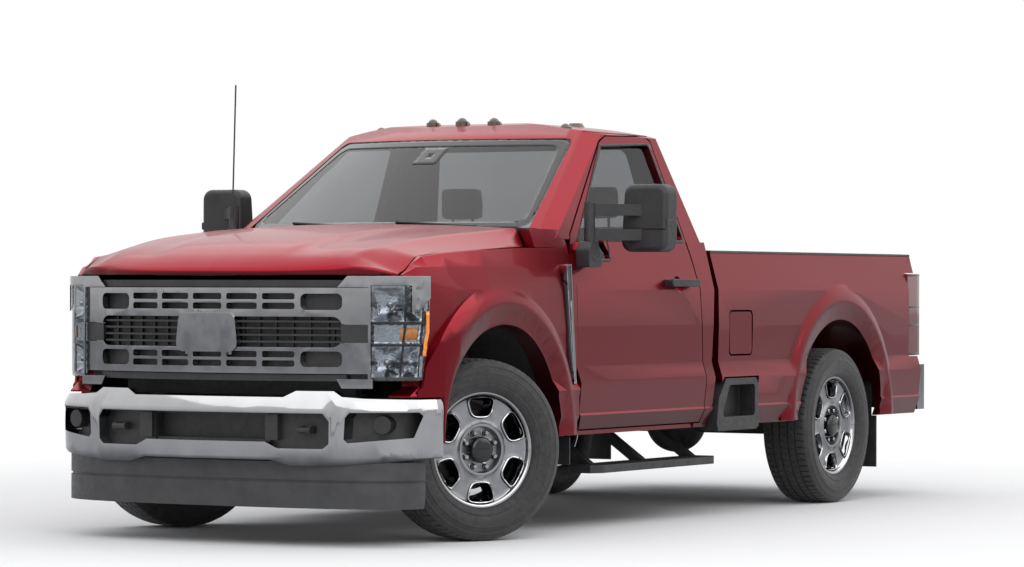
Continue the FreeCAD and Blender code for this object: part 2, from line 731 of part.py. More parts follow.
def make_cab():
    """Cab shell: floor, dash wall, back wall, sills, corners, pillars and roof."""
    belt = size("belt_z")
    wall = size("pillar_wall")
    upper = greenhouse(0, 0).cut(greenhouse(wall, 48))
    door_hole = prism_along_y(door_outline(size("door_gap")), 600, 1100)
    windscreen_hole = windscreen_cutter()
    rear_window = rounded_window_x([(-640, 1440), (640, 1440), (560, 1850), (-560, 1850)], 50, -400, 100)
    upper = upper.cut(windscreen_hole).cut(rear_window)
    upper = upper.cut(door_hole).cut(other_side(door_hole))
    corner = lower_side(size("cab_rear_x"), size("door_rear_x") + 30, size("door_wall"))
    back_lean = prism_along_y([
        (size("cab_rear_x") - 200, 400), (-60, 400), (-100, 560), (size("cab_rear_x"), belt - 40),
        (size("cab_rear_x"), belt + 1), (size("cab_rear_x") - 200, belt + 1)], 0, 1200)
    corner = corner.cut(door_hole).cut(back_lean)
    floor_low = size("floor_z") - 40
    sill = block((-60, 1276), (760, 858), (size("body_bottom_z"), size("floor_z")))
    sill_lip = block((-30, 1276), (850, 968), (size("body_bottom_z"), size("door_bottom_z") - 8))
    floor = block((-100, 1330), (-830, 830), (floor_low, size("floor_z")))
    back = block((size("cab_rear_x"), size("cab_rear_x") + 40), (-884, 884), (floor_low, belt))
    dash_wall = block((1330, 1370), (-830, 830), (floor_low, 1400))
    pillar_outline = [(775, size("body_bottom_z")), (866, size("body_bottom_z")), (823, belt + 4),
        (775, belt + 4)]
    hinge_pillar = prism_along_x(pillar_outline, 1200, 1340)
    rear_pillar = prism_along_x(pillar_outline, -120, 20)
    cowl_beam = block((1340, 1586), (-840, 840), (1374, 1399))
    tunnel = block((690, 1370), (-215, 215), (floor_low, 815))
    tunnel_space = block((600, 1380), (-200, 200), (floor_low - 10, 800))
    parts = [upper, floor, back, dash_wall, cowl_beam, tunnel]
    for piece in (corner, sill, sill_lip, hinge_pillar, rear_pillar):
        parts += [piece, other_side(piece)]
    keep_shape("cab_shell", fused(parts).cut(tunnel_space))


def windscreen_cutter():
    """The windscreen's opening, seen from the front, through the bowed front of the cab."""
    outline = [(-836, 1300), (836, 1300), (655, 1880), (-655, 1880)]
    return rounded_window_x(outline, 45, 560, 1800)


def make_glass():
    """Windscreen and rear window, each bowed like the cab behind it."""
    outer = greenhouse(2, -40)
    inner = greenhouse(2 + size("glass_wall"), -80)
    skin = outer.cut(inner)
    front_outline = [(-794, 1431), (794, 1431), (654, 1879), (-654, 1879)]
    front = skin.common(rounded_window_x(front_outline, 45, 560, 1800))
    rear_skin = greenhouse(20, 0).cut(greenhouse(20 + size("glass_wall"), 20))
    rear = rear_skin.common(
        rounded_window_x([(-639, 1441), (639, 1441), (559, 1849), (-559, 1849)], 50, -400, 100))
    keep_shape("cab_glass", Part.makeCompound(front.Solids + rear.Solids))


def lower_door_space():
    """The door's outline carried inward, its latch edge drawn in with depth so that it swings clear."""
    slant = 0.09
    depth = 500
    outline = door_outline()
    outer_face = closed_face([Vector(x - 100 * slant, 1100, z) for x, z in outline])
    slanted = outer_face.extrude(Vector(depth * slant, -depth, 0))
    return slanted.common(prism_along_y(outline, 1100 - depth, 1100))


def frame_rear_trim():
    """What is cut from the window frame's latch edge, so that it too draws in with depth."""
    reach = 200
    slant = Vector(0.25 * reach, -reach, 0)

    def on_edge(z):
        share = (z - 1400) / 480.0
        return Vector(56 + 44 * share, 918 - 170 * share, z)

    foot = on_edge(1396)
    top = on_edge(1990)
    face = closed_face([foot - slant, foot + slant, top + slant, top - slant])
    return face.extrude(Vector(-200, 0, 0))


def door_shape():
    """Left door: stamped lower part and slim window frame, as thick as the real door."""
    lower = lower_side(size("cab_rear_x"), size("door_front_x") + 20, size("door_wall"))
    shell = greenhouse(0, 0).cut(greenhouse(50, 45))
    outline = prism_along_y(door_outline(), 600, 1100)
    upper = shell.common(outline).common(block((-200, 1400), (680, 1100), (size("belt_z"), 2000)))
    window = rounded_window_y(window_outline(), 22, 500, 1100)
    lower = lower.common(lower_door_space()).cut(window)
    upper = upper.cut(window)
    handle_cup = Part.makeSphere(60, Vector(240, 1022, 1176))
    return fused([lower, upper]).cut(frame_rear_trim()).cut(handle_cup).cut(hinge_roll())


def hinge_roll():
    """What is cut away so that a stretch of the door's front edge is rolled round its hinge line."""
    hinge_x = size("door_hinge_x")
    hinge_y = size("door_hinge_y")
    low = 565
    high = 685
    radius = size("door_front_x") - hinge_x
    corner = block((hinge_x, hinge_x + 40), (860, hinge_y), (low, high))
    return corner.cut(Part.makeCylinder(radius, high - low, Vector(hinge_x, hinge_y, low)))


def door_glass_shape():
    """Side window: one flat pane just inside the frame's outer face, held by its edges."""
    lean = (size("belt_half_width") - size("roof_half_width")) / (1900.0 - size("belt_z"))

    def pane_y(z):
        return size("belt_half_width") - 18 - lean * (z - size("belt_z"))

    low = 1270
    high = 1900
    thick = size("glass_wall")
    sheet_of_glass = prism_along_x([
        (pane_y(low), low), (pane_y(high), high), (pane_y(high) - thick, high), (pane_y(low) - thick, low)],
        0, 1300)
    return sheet_of_glass.common(rounded_window_y(window_outline(-0.2), 22, 500, 1100))


def handle_shape():
    """Pull handle that stands off the door on two feet."""
    bar = rounded_window_y([(95, 1160), (385, 1160), (385, 1192), (95, 1192)], 15, 1010, 1030)
    feet = [
        block((100, 150), (955, 1012), (1163, 1189)),
        block((330, 380), (955, 1012), (1163, 1189))]
    return fused([bar] + feet)


def make_doors():
    left = fused([door_shape(), handle_shape(), mirror_foot()])
    glass = door_glass_shape()
    keep_shape("door_left", left)
    keep_shape("door_right", other_side(left))
    keep_shape("door_glass_left", glass)
    keep_shape("door_glass_right", other_side(glass))


def mirror_shape():
    """Towing mirror: tall rounded head with a waist groove, on two arms from one foot on the door."""
    outline = [(1078, 1321), (1331, 1321), (1331, 1643), (1100, 1643)]
    head = rounded_window_x(outline, 52, 908, 1032)
    rims = [edge for edge in head.Edges if abs(edge.BoundBox.XMax - edge.BoundBox.XMin) < 1]
    head = head.makeFillet(26, rims)
    groove = block((1022, 1060), (1060, 1352), (1424, 1432))
    head = head.cut(groove)
    arms = []
    for z in (1402, 1520):
        arm = prism_along_z([
            (1225, 1000), (1175, 1000), (968, 1180), (968, 1230), (1000, 1230)], z - 27, z + 27)
        arms.append(arm)
    post = Part.makeCylinder(26, 186, Vector(1205, 1012, 1367))
    lamp = rounded_window_x([(1262, 1440), (1333.5, 1440), (1333.5, 1478), (1262, 1478)], 9, 950, 1026)
    return fused([head, post, lamp] + arms)


def mirror_foot():
    """Foot on the door's front corner that carries the mirror's post."""
    return prism_along_y([(1262, 1250), (1150, 1250), (1150, 1283), (1180, 1367), (1236, 1367),
        (1262, 1330)], 946, 1042)


def make_mirrors():
    left = mirror_shape()
    keep_shape("mirror_left", left)
    keep_shape("mirror_right", other_side(left))


# Front sheet metal.

def nose_x(y):
    """Plan curve of the grille's face."""
    return 2913 - 105 * (y / 651.0) ** 2


def read_table(table, value):
    """Linear reading of a table of (key, number) rows in rising order of key."""
    if value <= table[0][0]:
        return table[0][1]
    for (key, number), (next_key, next_number) in zip(table, table[1:]):
        if value <= next_key:
            share = (value - key) / (next_key - key)
            return number + share * (next_number - number)
    return table[-1][1]


HOOD_FRONT = [
    (0, 2900), (200, 2893), (400, 2868), (560, 2830), (640, 2800), (700, 2783), (760, 2757),
    (820, 2722), (860, 2690), (960, 2600)]
HOOD_CENTRE = [
    (1500, 1457), (1600, 1451), (1850, 1436), (2100, 1418), (2300, 1397), (2500, 1371),
    (2680, 1337), (2800, 1297), (2860, 1262), (2900, 1228), (2960, 1160)]
HOOD_CREST_Y = [
    (1560, 850), (1700, 822), (2000, 776), (2250, 745), (2464, 706), (2600, 680), (2700, 656), (2900, 640)]
HOOD_CREST_DROP = [(1560, 24), (2000, 27), (2464, 26), (2680, 12), (2850, 0)]
HOOD_SIDE_Y = [
    (1500, 890), (1612, 900), (1776, 924), (2000, 915), (2300, 893), (2536, 864), (2640, 872), (2690, 862),
    (2722, 820),
    (2757, 760), (2783, 700), (2800, 660), (2900, 650)]
HOOD_SIDE_Z = [
    (1500, 1352), (1640, 1345), (1776, 1340), (2000, 1327), (2300, 1309), (2536, 1289), (2600, 1256),
    (2640, 1232), (2690, 1210), (2800, 1208), (2900, 1150)]


def hood_plan():
    """Half of the hood's outline, from the front centre round to the rear centre."""
    return [
        (2900, 0), (2893, 200), (2868, 400), (2830, 560), (2800, 640), (2783, 700), (2757, 760), (2722, 820),
        (2690, 862), (2640, 872), (2536, 864), (2300, 893), (2000, 915), (1776, 924), (1700, 917),
        (1612, 884),
        (1604, 500), (1600, 0)]


def hood_height(x, y):
    """Height of the hood's skin: crowned middle, a crest along each side and a flank down to the shut line."""
    y = abs(y)
    nose_share = min(max((x - 2300) / 600.0, 0), 1)
    shifted = x + nose_share * (2900 - read_table(HOOD_FRONT, y))
    crest_y = read_table(HOOD_CREST_Y, x)
    drop = read_table(HOOD_CREST_DROP, x)
    if y <= crest_y:
        return read_table(HOOD_CENTRE, shifted) - drop * (y / crest_y) ** 2
    crest_shift = x + nose_share * (2900 - read_table(HOOD_FRONT, crest_y))
    crest_z = read_table(HOOD_CENTRE, crest_shift) - drop
    side_y = max(read_table(HOOD_SIDE_Y, x), crest_y + 20)
    share = (y - crest_y) / (side_y - crest_y)
    return crest_z + share * (read_table(HOOD_SIDE_Z, x) - crest_z)


def smooth_face(rows):
    """A face that follows a net of control points smoothly and reaches its edges."""
    degree = 2
    along_count = len(rows)
    across_count = len(rows[0])

    def knots(count):
        return [float(index) for index in range(count - degree + 1)]

    def multiplicities(count):
        return [degree + 1] + [1] * (count - degree - 1) + [degree + 1]

    surface = Part.BSplineSurface()
    surface.buildFromPolesMultsKnots(
        rows, multiplicities(along_count), multiplicities(across_count), knots(along_count),
        knots(across_count),
        False, False, degree, degree)
    return surface.toShape()


def hood_top(lower):
    """The space under the hood's skin, lowered by a depth."""
    stations_x = (1540, 1620, 1760, 1900, 2050, 2200, 2340, 2460, 2550, 2620, 2680, 2730, 2780, 2825, 2865,
        2895, 2925)
    half_y = (200, 400, 540, 630, 690, 740, 790, 840, 890, 950)
    stations_y = [-y for y in reversed(half_y)] + [0] + list(half_y)
    rows = [
        [Vector(x, y, hood_height(x, y) - lower) for y in stations_y] for x in stations_x]
    return smooth_face(rows).extrude(Vector(0, 0, -420))


def make_hood():
    """Hood: one stamped panel, deep at its nose and sides and hollow beneath."""
    half = hood_plan()
    outline = half + [(x, -y) for x, y in reversed(half[1:-1])]
    flange = [(x, y - 9 if 1600 < x < 2560 and y > 600 else y) for x, y in half]
    flange_outline = flange + [(x, -y) for x, y in reversed(flange[1:-1])]
    flange_z = 1270
    plan = prism_along_z(outline, flange_z, 1500).fuse(prism_along_z(flange_outline, 1185, flange_z))
    outer = plan.common(hood_top(0))
    inner_half = [(x - 40 if x > 2600 else x, max(y - 34, 0)) for x, y in half]
    inner_half[-1] = (1640, 0)
    inner_half[-2] = (1640, 500)
    inner_half[-3] = (1650, 850)
    inner_outline = inner_half + [(x, -y) for x, y in reversed(inner_half[1:-1])]
    hollow = prism_along_z(inner_outline, 1100, 1500).common(hood_top(32))
    hood = outer.cut(hollow)
    hood = hood.cut(block((1500, 1780), (-1000, 1000), (1100, 1335)))
    hinge_x = size("hood_hinge_x")
    hinge_z = size("hood_hinge_z")
    rolled = 11
    hood = hood.cut(block((hinge_x - 30, hinge_x), (-250, 250), (1380, 1500)))
    edge = Part.makeCylinder(rolled, 500, Vector(hinge_x, -250, hinge_z), Vector(0, 1, 0))
    keep_shape("hood", fused([hood, edge]))


def fender_section(x, taper, drop, thin=0):
    """Front fender section at one station, as a (y, z) outline moved in by taper towards the nose."""
    top_z = 1338 - drop
    outer = [
        (972, size("body_bottom_z")), (1006, LOW_CREASE_Z), (1006, 640), (1013, BAND_LOW_Z - 30),
        (990, BAND_HIGH_Z - 60), (996, 960), (992, SHOULDER_Z), (972, 1240), (938, top_z)]
    outer = [(y - taper - thin, min(z, top_z)) for y, z in outer]
    inner = [(900 - taper, top_z), (900 - taper, size("body_bottom_z"))]
    return [Vector(x, y, z) for y, z in outer + inner]


def lamp_rear_line():
    """Side view of the slanted joint between lamp and fender, from top to bottom."""
    return [(2567, 1185), (2572, 960), (2612, 712)]


def fender_shape():
    """Left front fender with the round opening and its flare, from the door to the lamp."""
    stations = [
        (1291, 0, 0), (1700, -2, 4), (2100, 0, 18), (2400, 22, 36), (2540, 44, 50), (2610, 62, 88),
        (2680, 88, 132)]
    wires = [
        Part.makePolygon(fender_section(*station) + fender_section(*station)[:1]) for station in stations]
    panel = Part.makeLoft(wires, True, True)
    front_trim = prism_along_y(lamp_rear_line() + [(2800, 600), (2800, 1185)], 700, 1100)
    bumper_room = block((BUMPER_END_X - 2, 2800), (700, 1100), (300, 664))
    panel = panel.cut(front_trim)
    rear_top = prism_along_x([(870, 1320), (938, 1338), (905, 1430), (850, 1430)], 1291, 1600)
    rear_top = rear_top.cut(prism_along_y([(1291, 1425), (1291, 1500), (1700, 1500), (1700, 1340),
        (1598, 1425)], 800, 1000))
    rear_top = rear_top.cut(greenhouse(0, 0))
    panel = fused([panel, rear_top])
    front_x = size("front_axle_x")
    panel = panel.cut(arch_cutter(front_x))
    nose_limit = prism_along_z([
        (1291, 800), (1291, 1100), (2250, 1020), (2400, 1012), (2500, 995), (2577, 966), (2680, 925),
        (2680, 800)],
        300, 1400)
    flare = arch_flare(front_x, 940).common(nose_limit).cut(front_trim)
    panel = fused([panel, flare]).cut(bumper_room).cut(vent_pocket())
    panel = panel.cut(prism_along_z(hood_clearance(), 1180, 1500))
    return panel


def make_fenders():
    panel = fender_shape()
    keep_shape("fenders", both_sides(panel))
    make_liners(panel)


def hood_clearance():
    """The hood's plan grown by the shut line's gap."""
    grown = [(x + 6, y + 6) if y else (x + 6, y) for x, y in hood_plan()]
    grown[-3] = (1596, 890)
    grown[-2] = (1594, 500)
    grown[-1] = (1590, 0)
    return grown + [(x, -y) for x, y in reversed(grown[1:-1])]


def vent_outline(grow=0.0):
    return [
        (1421 + grow, 1254 + grow), (1372 - grow, 1262 + grow), (1322 - grow, 700 - grow),
        (1345 + grow, 700 - grow),
        (1385 + grow, 900)]


def vent_pocket():
    return prism_along_y(vent_outline(2), 962, 1100)


def make_vents():
    vent = prism_along_y(vent_outline(), 962, 1006)
    keep_shape("fender_vents", both_sides(vent))


def make_liners(fender):
    """Inner arch liners tucked inside the fenders, and the mud flaps behind all four wheels."""
    front_x = size("front_axle_x")
    radius = size("arch_radius")
    ring = Part.makeCylinder(
        radius + 26, 330, Vector(front_x, 568, size("arch_z")), Vector(0, 1, 0)).cut(
        Part.makeCylinder(radius + 16, 330, Vector(front_x, 568, size("arch_z")), Vector(0, 1, 0)))
    ring = ring.cut(block((0, 4000), (0, 1100), (-300, 600)))
    wall = Part.makeCylinder(radius + 26, 10, Vector(front_x, 560, size("arch_z")), Vector(0, 1, 0))
    wall = wall.cut(block((0, 4000), (0, 1100), (-300, 700)))
    liner = fused([ring, wall]).cut(fender)
    front_flap = fused([
        block((1340, 1348), (700, 985), (319, 450)), block((1340, 1348), (760, 886), (440, 586))])
    rear_flap = fused([
        block((-2165, -2155), (700, 960), (170, 452)), block((-2165, -2155), (700, 930), (440, 700))])
    keep_shape("liners_and_flaps", Part.makeCompound(
        [liner, other_side(liner), front_flap, other_side(front_flap), rear_flap, other_side(rear_flap)]))


GRILLE_HALF_WIDTH = 764
GRILLE_LOW_Z = 768
GRILLE_HIGH_Z = 1148
GRILLE_BAND = (884, 1020)
SLOT_ROWS = ((798, 826), (839, 867), (1053, 1081), (1096, 1124))
END_WINDOW_ROWS = ((798, 867), (1050, 1122))


def grille_curve(back, half_width):
    """Plan curve of the grille, moved back by a depth."""
    steps = 8
    places = [half_width * (2.0 * step / steps - 1) for step in range(steps + 1)]
    return [(nose_x(y) - back, y) for y in places]


def slot_columns():
    """Left and right edges of the five slots in a row."""
    pitch = 180
    half = 77
    return [(index * pitch - half, index * pitch + half) for index in (-2, -1, 0, 1, 2)]


def make_grille():
    """Chrome surround with two pierced bars, an end window in each bar, and ears that reach the lamps."""
    band = spline_band(grille_curve(0, GRILLE_HALF_WIDTH), 40, GRILLE_LOW_Z, GRILLE_HIGH_Z)
    low, high = GRILLE_BAND
    band = band.cut(rounded_window_x([(-650, low), (650, low), (650, high), (-650, high)], 44, 2700, 3000))
    for low, high in SLOT_ROWS:
        for left, right in slot_columns():
            slot = [(left, low), (right, low), (right, high), (left, high)]
            band = band.cut(rounded_window_x(slot, 9, 2700, 3000))
    for side in (1, -1):
        near = side * 464
        far = side * 650
        for low, high in END_WINDOW_ROWS:
            window = [(near, low), (far, low), (far, high), (near, high)]
            band = band.cut(rounded_window_x(window, 24, 2700, 3000))
        notch = rounded_window_x([(side * 640, 902), (side * 900, 902), (side * 900, 988),
            (side * 640, 988)], 12, 2600, 3000)
        behind = spline_band(grille_curve(20, GRILLE_HALF_WIDTH), 60, 880, 1010)
        band = band.cut(notch.cut(behind))
    plate = rounded_window_x([(-168, 862), (168, 862), (150, 1036), (-150, 1036)], 40, 2886, 2918)
    stays = [
        block((2880, 2900), sorted((side * 100, side * 125)), (850, 1050)) for side in (1, -1)]
    chrome = fused([band, plate] + stays)
    keep_shape("grille_chrome", chrome)
    make_grille_mesh(chrome)


def make_grille_mesh(chrome):
    """Dark plastic round and behind the chrome: fine rails, backing wall, end plates and edge strips."""
    wide = GRILLE_HALF_WIDTH
    parts = [spline_band(grille_curve(46.5, wide - 2), 14, 742, 1182)]
    for low, half_width in ((904, 638), (934, 649), (964, 649), (994, 636)):
        parts.append(spline_band(grille_curve(12, half_width), 38, low, low + 9))
    parts.append(spline_band(grille_curve(16, 662), 40, GRILLE_HIGH_Z + 4, 1182))
    parts.append(spline_band(grille_curve(14, 662), 40, 735, GRILLE_LOW_Z - 4))
    ribs = []
    for side in (1, -1):
        for y in (170, 250, 330, 410, 490, 570):
            ribs.append(block((nose_x(y) - 50, nose_x(y) - 34), sorted((side * (y - 4), side * (y + 4))),
                (886, 1018)))
        end_plate = spline_band(grille_curve(2, wide - 1), 17, 905, 985)
        ribs.append(end_plate.common(block((2600, 3000), sorted((side * 644, side * 900)), (900, 990))))
    rails_top = size("rail_high_z") + size("rail_height")
    parts.append(block((2600, 2650), (-620, 620), (rails_top, 1150)))
    for side in (1, -1):
        parts.append(block((2640, 2790), sorted((side * 560, side * 600)), (900, 960)))
    keep_shape("grille_mesh", fused(parts + ribs).cut(chrome))


def lamp_outline():
    """The headlamp in side and front view, as the plan curve of its lens."""
    return [
        (2806, 634), (2790, 700), (2765, 780), (2725, 860), (2670, 925), (2625, 948), (2575, 961)]


def make_headlamps():
    """Tall wrap-round headlamp: lens in two chambers with the turn lamp's bezel between, side marker behind."""
    curve = lamp_outline()
    lens = spline_band(curve, 120, 738, 1180)
    slant = prism_along_y([(2300, 1230), (2556, 1230)] + lamp_rear_line() + [(2670, 600), (2300, 600)], 600,
        1100)
    inner_room = block((2400, 2900), (600, 768.5), (700, 1200))
    lamp = lens.cut(slant).cut(inner_room)
    proud = curved_wall([(x + 5, y + 3) for x, y in curve], [(x - 8, y - 9) for x, y in curve], 738, 1180)
    proud = proud.cut(slant).cut(inner_room)
    bezels = [
        block((2400, 2900), (781, 934), (low, low + 10)) for low in (896, 986)]
    marker = prism_along_y([(2592, 1030), (2628, 1042), (2634, 870), (2612, 850), (2600, 860)], 900, 1000)
    raised = [proud.common(piece) for piece in bezels + [marker]]
    keep_shape("headlamps", both_sides(fused([lamp] + raised)))


def make_lamp_brackets():
    """Chrome C round the inner side of each lamp, with a short leg over its outer shoulder."""
    curve = [(2820, 622)] + [(x + 11, y + 5) for x, y in lamp_outline()]
    ring = spline_band(curve, 10.5, 704, 1200)
    lens_room = block((2500, 2900), (779, 932), (746, 1158))
    ear_room = block((2500, 2900), (600, 768), (744, 1150))
    low_end = block((2400, 2900), (788, 1100), (690, 760))
    leg_end = prism_along_y([(2400, 600), (2700, 600), (2700, 1030), (2640, 1048), (2582, 1100),
        (2400, 1100)], 928, 1100)
    top_slant = prism_along_x([(600, 1140), (630, 1150), (676, 1201), (600, 1201)], 2500, 2900)
    low_slant = prism_along_x([(600, 760), (626, 748), (652, 703), (600, 703)], 2500, 2900)
    bracket = ring.cut(lens_room).cut(ear_room).cut(low_end).cut(leg_end).cut(top_slant).cut(low_slant)
    keep_shape("lamp_brackets", both_sides(bracket))


def bumper_curve(back=0.0):
    points = [
        (2520, -1000), (2640, -982), (2740, -905), (2806, -790), (2880, -600), (2925, -350), (2944, 0),
        (2925, 350), (2880, 600), (2806, 790), (2740, 905), (2640, 982), (2520, 1000)]
    return [(x - back, y * (1 - back / 1000.0)) for x, y in points]


def curved_wall(outer_points, inner_points, low, high):
    """A wall between two smooth plan curves."""
    curves = []
    for points in (outer_points, inner_points):
        curve = Part.BSplineCurve()
        curve.interpolate([Vector(x, y, low) for x, y in points])
        curves.append(curve.toShape())
    ends = [
        Part.makeLine(curves[0].Vertexes[0].Point, curves[1].Vertexes[0].Point),
        Part.makeLine(curves[0].Vertexes[-1].Point, curves[1].Vertexes[-1].Point)]
    wire = Part.Wire(Part.__sortEdges__(curves + ends))
    return Part.Face(wire).extrude(Vector(0, 0, high - low))


def bumper_layer(z, lean):
    """Closed plan of the bumper's wall at a height, its face leaning back by a depth."""
    outer = Part.BSplineCurve()
    outer.interpolate([Vector(x, y, z) for x, y in bumper_curve(lean)])
    inner = Part.BSplineCurve()
    inner.interpolate([Vector(x, y, z) for x, y in bumper_curve(58)])
    edges = [outer.toShape(), inner.toShape()]
    edges.append(Part.makeLine(edges[0].Vertexes[0].Point, edges[1].Vertexes[0].Point))
    edges.append(Part.makeLine(edges[0].Vertexes[1].Point, edges[1].Vertexes[1].Point))
    return Part.Wire(Part.__sortEdges__(edges))


def mirrored_outline(half):
    """A closed outline from its half at positive first coordinate, drawn from the middle outward."""
    return half + [(-y, z) for y, z in reversed(half) if y > 0]


def front_bumper_shape():
    """Chrome bumper: crease and leaning top, stepped edge, one joined opening and two lamp pockets."""
    layers = [
        bumper_layer(z, lean) for z, lean in ((355, 26), (402, 4), (BUMPER_CREASE_Z, 0), (702, 34))]
    wall = Part.makeLoft(layers, True, True)
    edge = mirrored_outline([
        (0, 386), (340, 386), (430, 362), (620, 362), (860, 380), (1100, 408), (1100, 652), (760, 660),
        (665, 667),
        (625, 692), (455, 692), (400, 664), (0, 664)])
    wall = wall.common(prism_along_x(edge, BUMPER_END_X, 3000))
    mouth = mirrored_outline([
        (0, 466), (320, 466), (380, 438), (594, 438), (620, 460), (622, 560), (594, 594), (0, 594)])
    wall = wall.cut(rounded_window_x([point for point in mouth if point[0] != 0], 12, 2600, 3000))
    for side in (1, -1):
        fog = [(690, 575), (708, 598), (966, 600), (976, 584), (950, 488), (700, 464), (684, 480)]
        wall = wall.cut(rounded_window_x([(side * y, z) for y, z in fog], 7, 2560, 3000))
    stays = [block((2836, 2880), sorted((side * 412, side * 458)), (604, 636)) for side in (1, -1)]
    return fused([wall] + stays)


def make_bumper():
    bumper = front_bumper_shape()
    keep_shape("front_bumper", bumper)
    make_bumper_inserts(bumper)
    make_air_dam(bumper)


def make_bumper_inserts(bumper):
    """Black panel behind the bumper's openings, with its hook recesses, tow hooks and round fog lamps."""
    back = [(x, y) for x, y in bumper_curve(59) if abs(y) < 960]
    inner = [(x, y) for x, y in bumper_curve(84) if abs(y) < 960]
    wall = curved_wall(back, inner, 428, 640)
    wall = wall.cut(rounded_window_x([(-300, 476), (300, 476), (300, 586), (-300, 586)], 12, 2600, 3000))
    deep = block((2800, 2815), (-330, 330), (450, 610))
    parts = [wall, deep]
    for side in (1, -1):
        parts.append(block((2800, 2880), sorted((side * 302, side * 322)), (450, 610)))
        cheek = block((2840, 2902), sorted((side * 306, side * 372)), (474, 588))
        parts.append(cheek)
        for shift in (-26, 26):
            y = side * 500 + shift
            parts.append(block((2838, 2884), (y - 8, y + 8), (504, 536)))
        parts.append(Part.makeCylinder(14, 68, Vector(2880, side * 500 - 34, 520), Vector(0, 1, 0)))
        parts.append(rod((2680, side * 812, 544), (2764, side * 832, 544), 40))
    ahead_of_fenders = block((2508, 3000), (-1000, 1000), (400, 660))
    inserts = fused(parts).common(ahead_of_fenders).cut(bumper)
    for side in (1, -1):
        horn_room = block((2600, 2836.5), sorted((side * 404.5, side * 465.5)), (519.5, 640.5))
        inserts = inserts.cut(horn_room)
    keep_shape("bumper_inserts", inserts)


def make_air_dam(bumper):
    """Grey air dam under the bumper, with one groove along it."""
    outer = [(2590, -950), (2700, -905), (2800, -740), (2850, -500), (2872, 0), (2850, 500), (2800, 740),
        (2700, 905), (2590, 950)]
    inner = [(x - 30, y * 0.965) for x, y in outer]
    low = curved_wall(outer, inner, 172, 378)
    groove = curved_wall([(x + 20, y * 1.02) for x, y in outer], [(x - 6, y * 0.995) for x, y in outer],
        286, 298)
    skirt = low.cut(groove)
    taper = prism_along_y([(2500, 100), (2500, 379), (2560, 379), (2600, 172), (2600, 100)], -1100, 1100)
    stays = [block((2640, 2850), sorted((side * 400, side * 440)), (340, 378)) for side in (1, -1)]
    keep_shape("air_dam", fused([skirt.cut(taper)] + stays).cut(bumper))


# Box.

def make_box_tub():
    """Load floor, front wall, inner walls and wheelhouses of the box."""
    front = size("box_front_x")
    rear = size("box_rear_x")
    floor_z = size("box_floor_z")
    inner = size("box_inner_half_width")
    wall = 24
    floor = block((rear, front), (-inner, inner), (floor_z - 22, floor_z))
    front_wall = block((front - wall, front), (-inner - wall, inner + wall),
        (floor_z - 40, size("rail_top_z") - 2))
    parts = [floor, front_wall]
    axle_x = size("front_axle_x") - size("wheelbase")
    radius = size("arch_radius") + 24
    gap = size("wheelhouse_half_gap")
    for side in (1, -1):
        side_wall = block((rear, front), sorted((side * inner, side * (inner + wall))),
            (floor_z - 22, size("rail_top_z") - 2))
        centre = Vector(axle_x, side * gap, size("arch_z"))
        drum = Part.makeCylinder(radius, 955 - gap, centre, Vector(0, side, 0))
        hollow = Part.makeCylinder(radius - 20, 960 - gap, centre + Vector(0, side * 20, 0),
            Vector(0, side, 0))
        drum = drum.cut(hollow).cut(block((-4000, 0), (-1100, 1100), (-300, 640)))
        open_wall = side_wall.cut(Part.makeCylinder(radius - 20, 400, centre + Vector(0, side * 20, 0),
            Vector(0, side, 0)))
        parts += [open_wall, drum]
        floor_hole = block(
            (axle_x - 430, axle_x + 430), sorted((side * (gap + 20), side * (inner + wall + 1))),
            (floor_z - 60, floor_z + 1))
        parts[0] = parts[0].cut(floor_hole)
    for index in range(7):
        x = front - 150 - index * 370
        parts.append(block((x - 40, x + 40), (-620, 620), (floor_z - 80, floor_z - 22)))
    sills = [
        block(
            (-2300, -250), sorted((side * 400, side * 470)),
            (size("rail_high_z") + size("rail_height"), floor_z - 22))
        for side in (1, -1)]
    keep_shape("box_tub", fused(parts + sills + tailgate_cups()))


def tailgate_cups():
    """Plates at the floor's rear corners that carry the tailgate's round trunnions."""
    hinge_x = size("tailgate_hinge_x")
    hinge_z = size("tailgate_hinge_z")
    half = size("tailgate_half_width")
    cups = []
    for side in (1, -1):
        plate = block((hinge_x - 16, size("box_rear_x") + 12),
            sorted((side * (half + 5), side * (half + 17))), (784, 816))
        bore = Part.makeCylinder(
            TRUNNION_RADIUS + 0.3, 2 * half + 100, Vector(hinge_x, -half - 50, hinge_z), Vector(0, 1, 0))
        cups.append(plate.cut(bore))
    return cups


def make_box_sides():
    """Outer box sides with the wheel opening, the flare and a closed top rail."""
    front = size("box_front_x")
    rear = -2640
    top = size("rail_top_z")
    skin = size("skin_wall")
    outer = side_outline(top, 0, 0)[:8]
    inner = [(y - skin, z) for y, z in reversed(outer)]
    panel = prism_along_x(outer + inner, rear, front)
    rail = prism_along_x([(874.5, top - 60), (940, top - 60), (939, top), (874.5, top)], rear, front)
    rear_post = prism_along_x([(876, 640), (986, 640), (986, 1142), (940, top), (876, top)], rear, rear + 30)
    axle_x = size("front_axle_x") - size("wheelbase")
    shape = fused([panel, rail, rear_post]).cut(arch_cutter(axle_x, 800))
    shape = fused([shape, arch_flare(axle_x, 955.5)])
    lamp_room = prism_along_y([(-2526, 772), (-2526, 1236), (-2900, 1236), (-2900, 772)], 760, 1200)
    shape = shape.cut(lamp_room)
    step_room = prism_along_y([(-40, 300), (-100, 600), (-210, 702), (-600, 702), (-600, 300)], 900, 1200)
    shape = shape.cut(step_room)
    left = shape.cut(fuel_door_hole())
    keep_shape("box_sides", Part.makeCompound([left, other_side(shape)]))


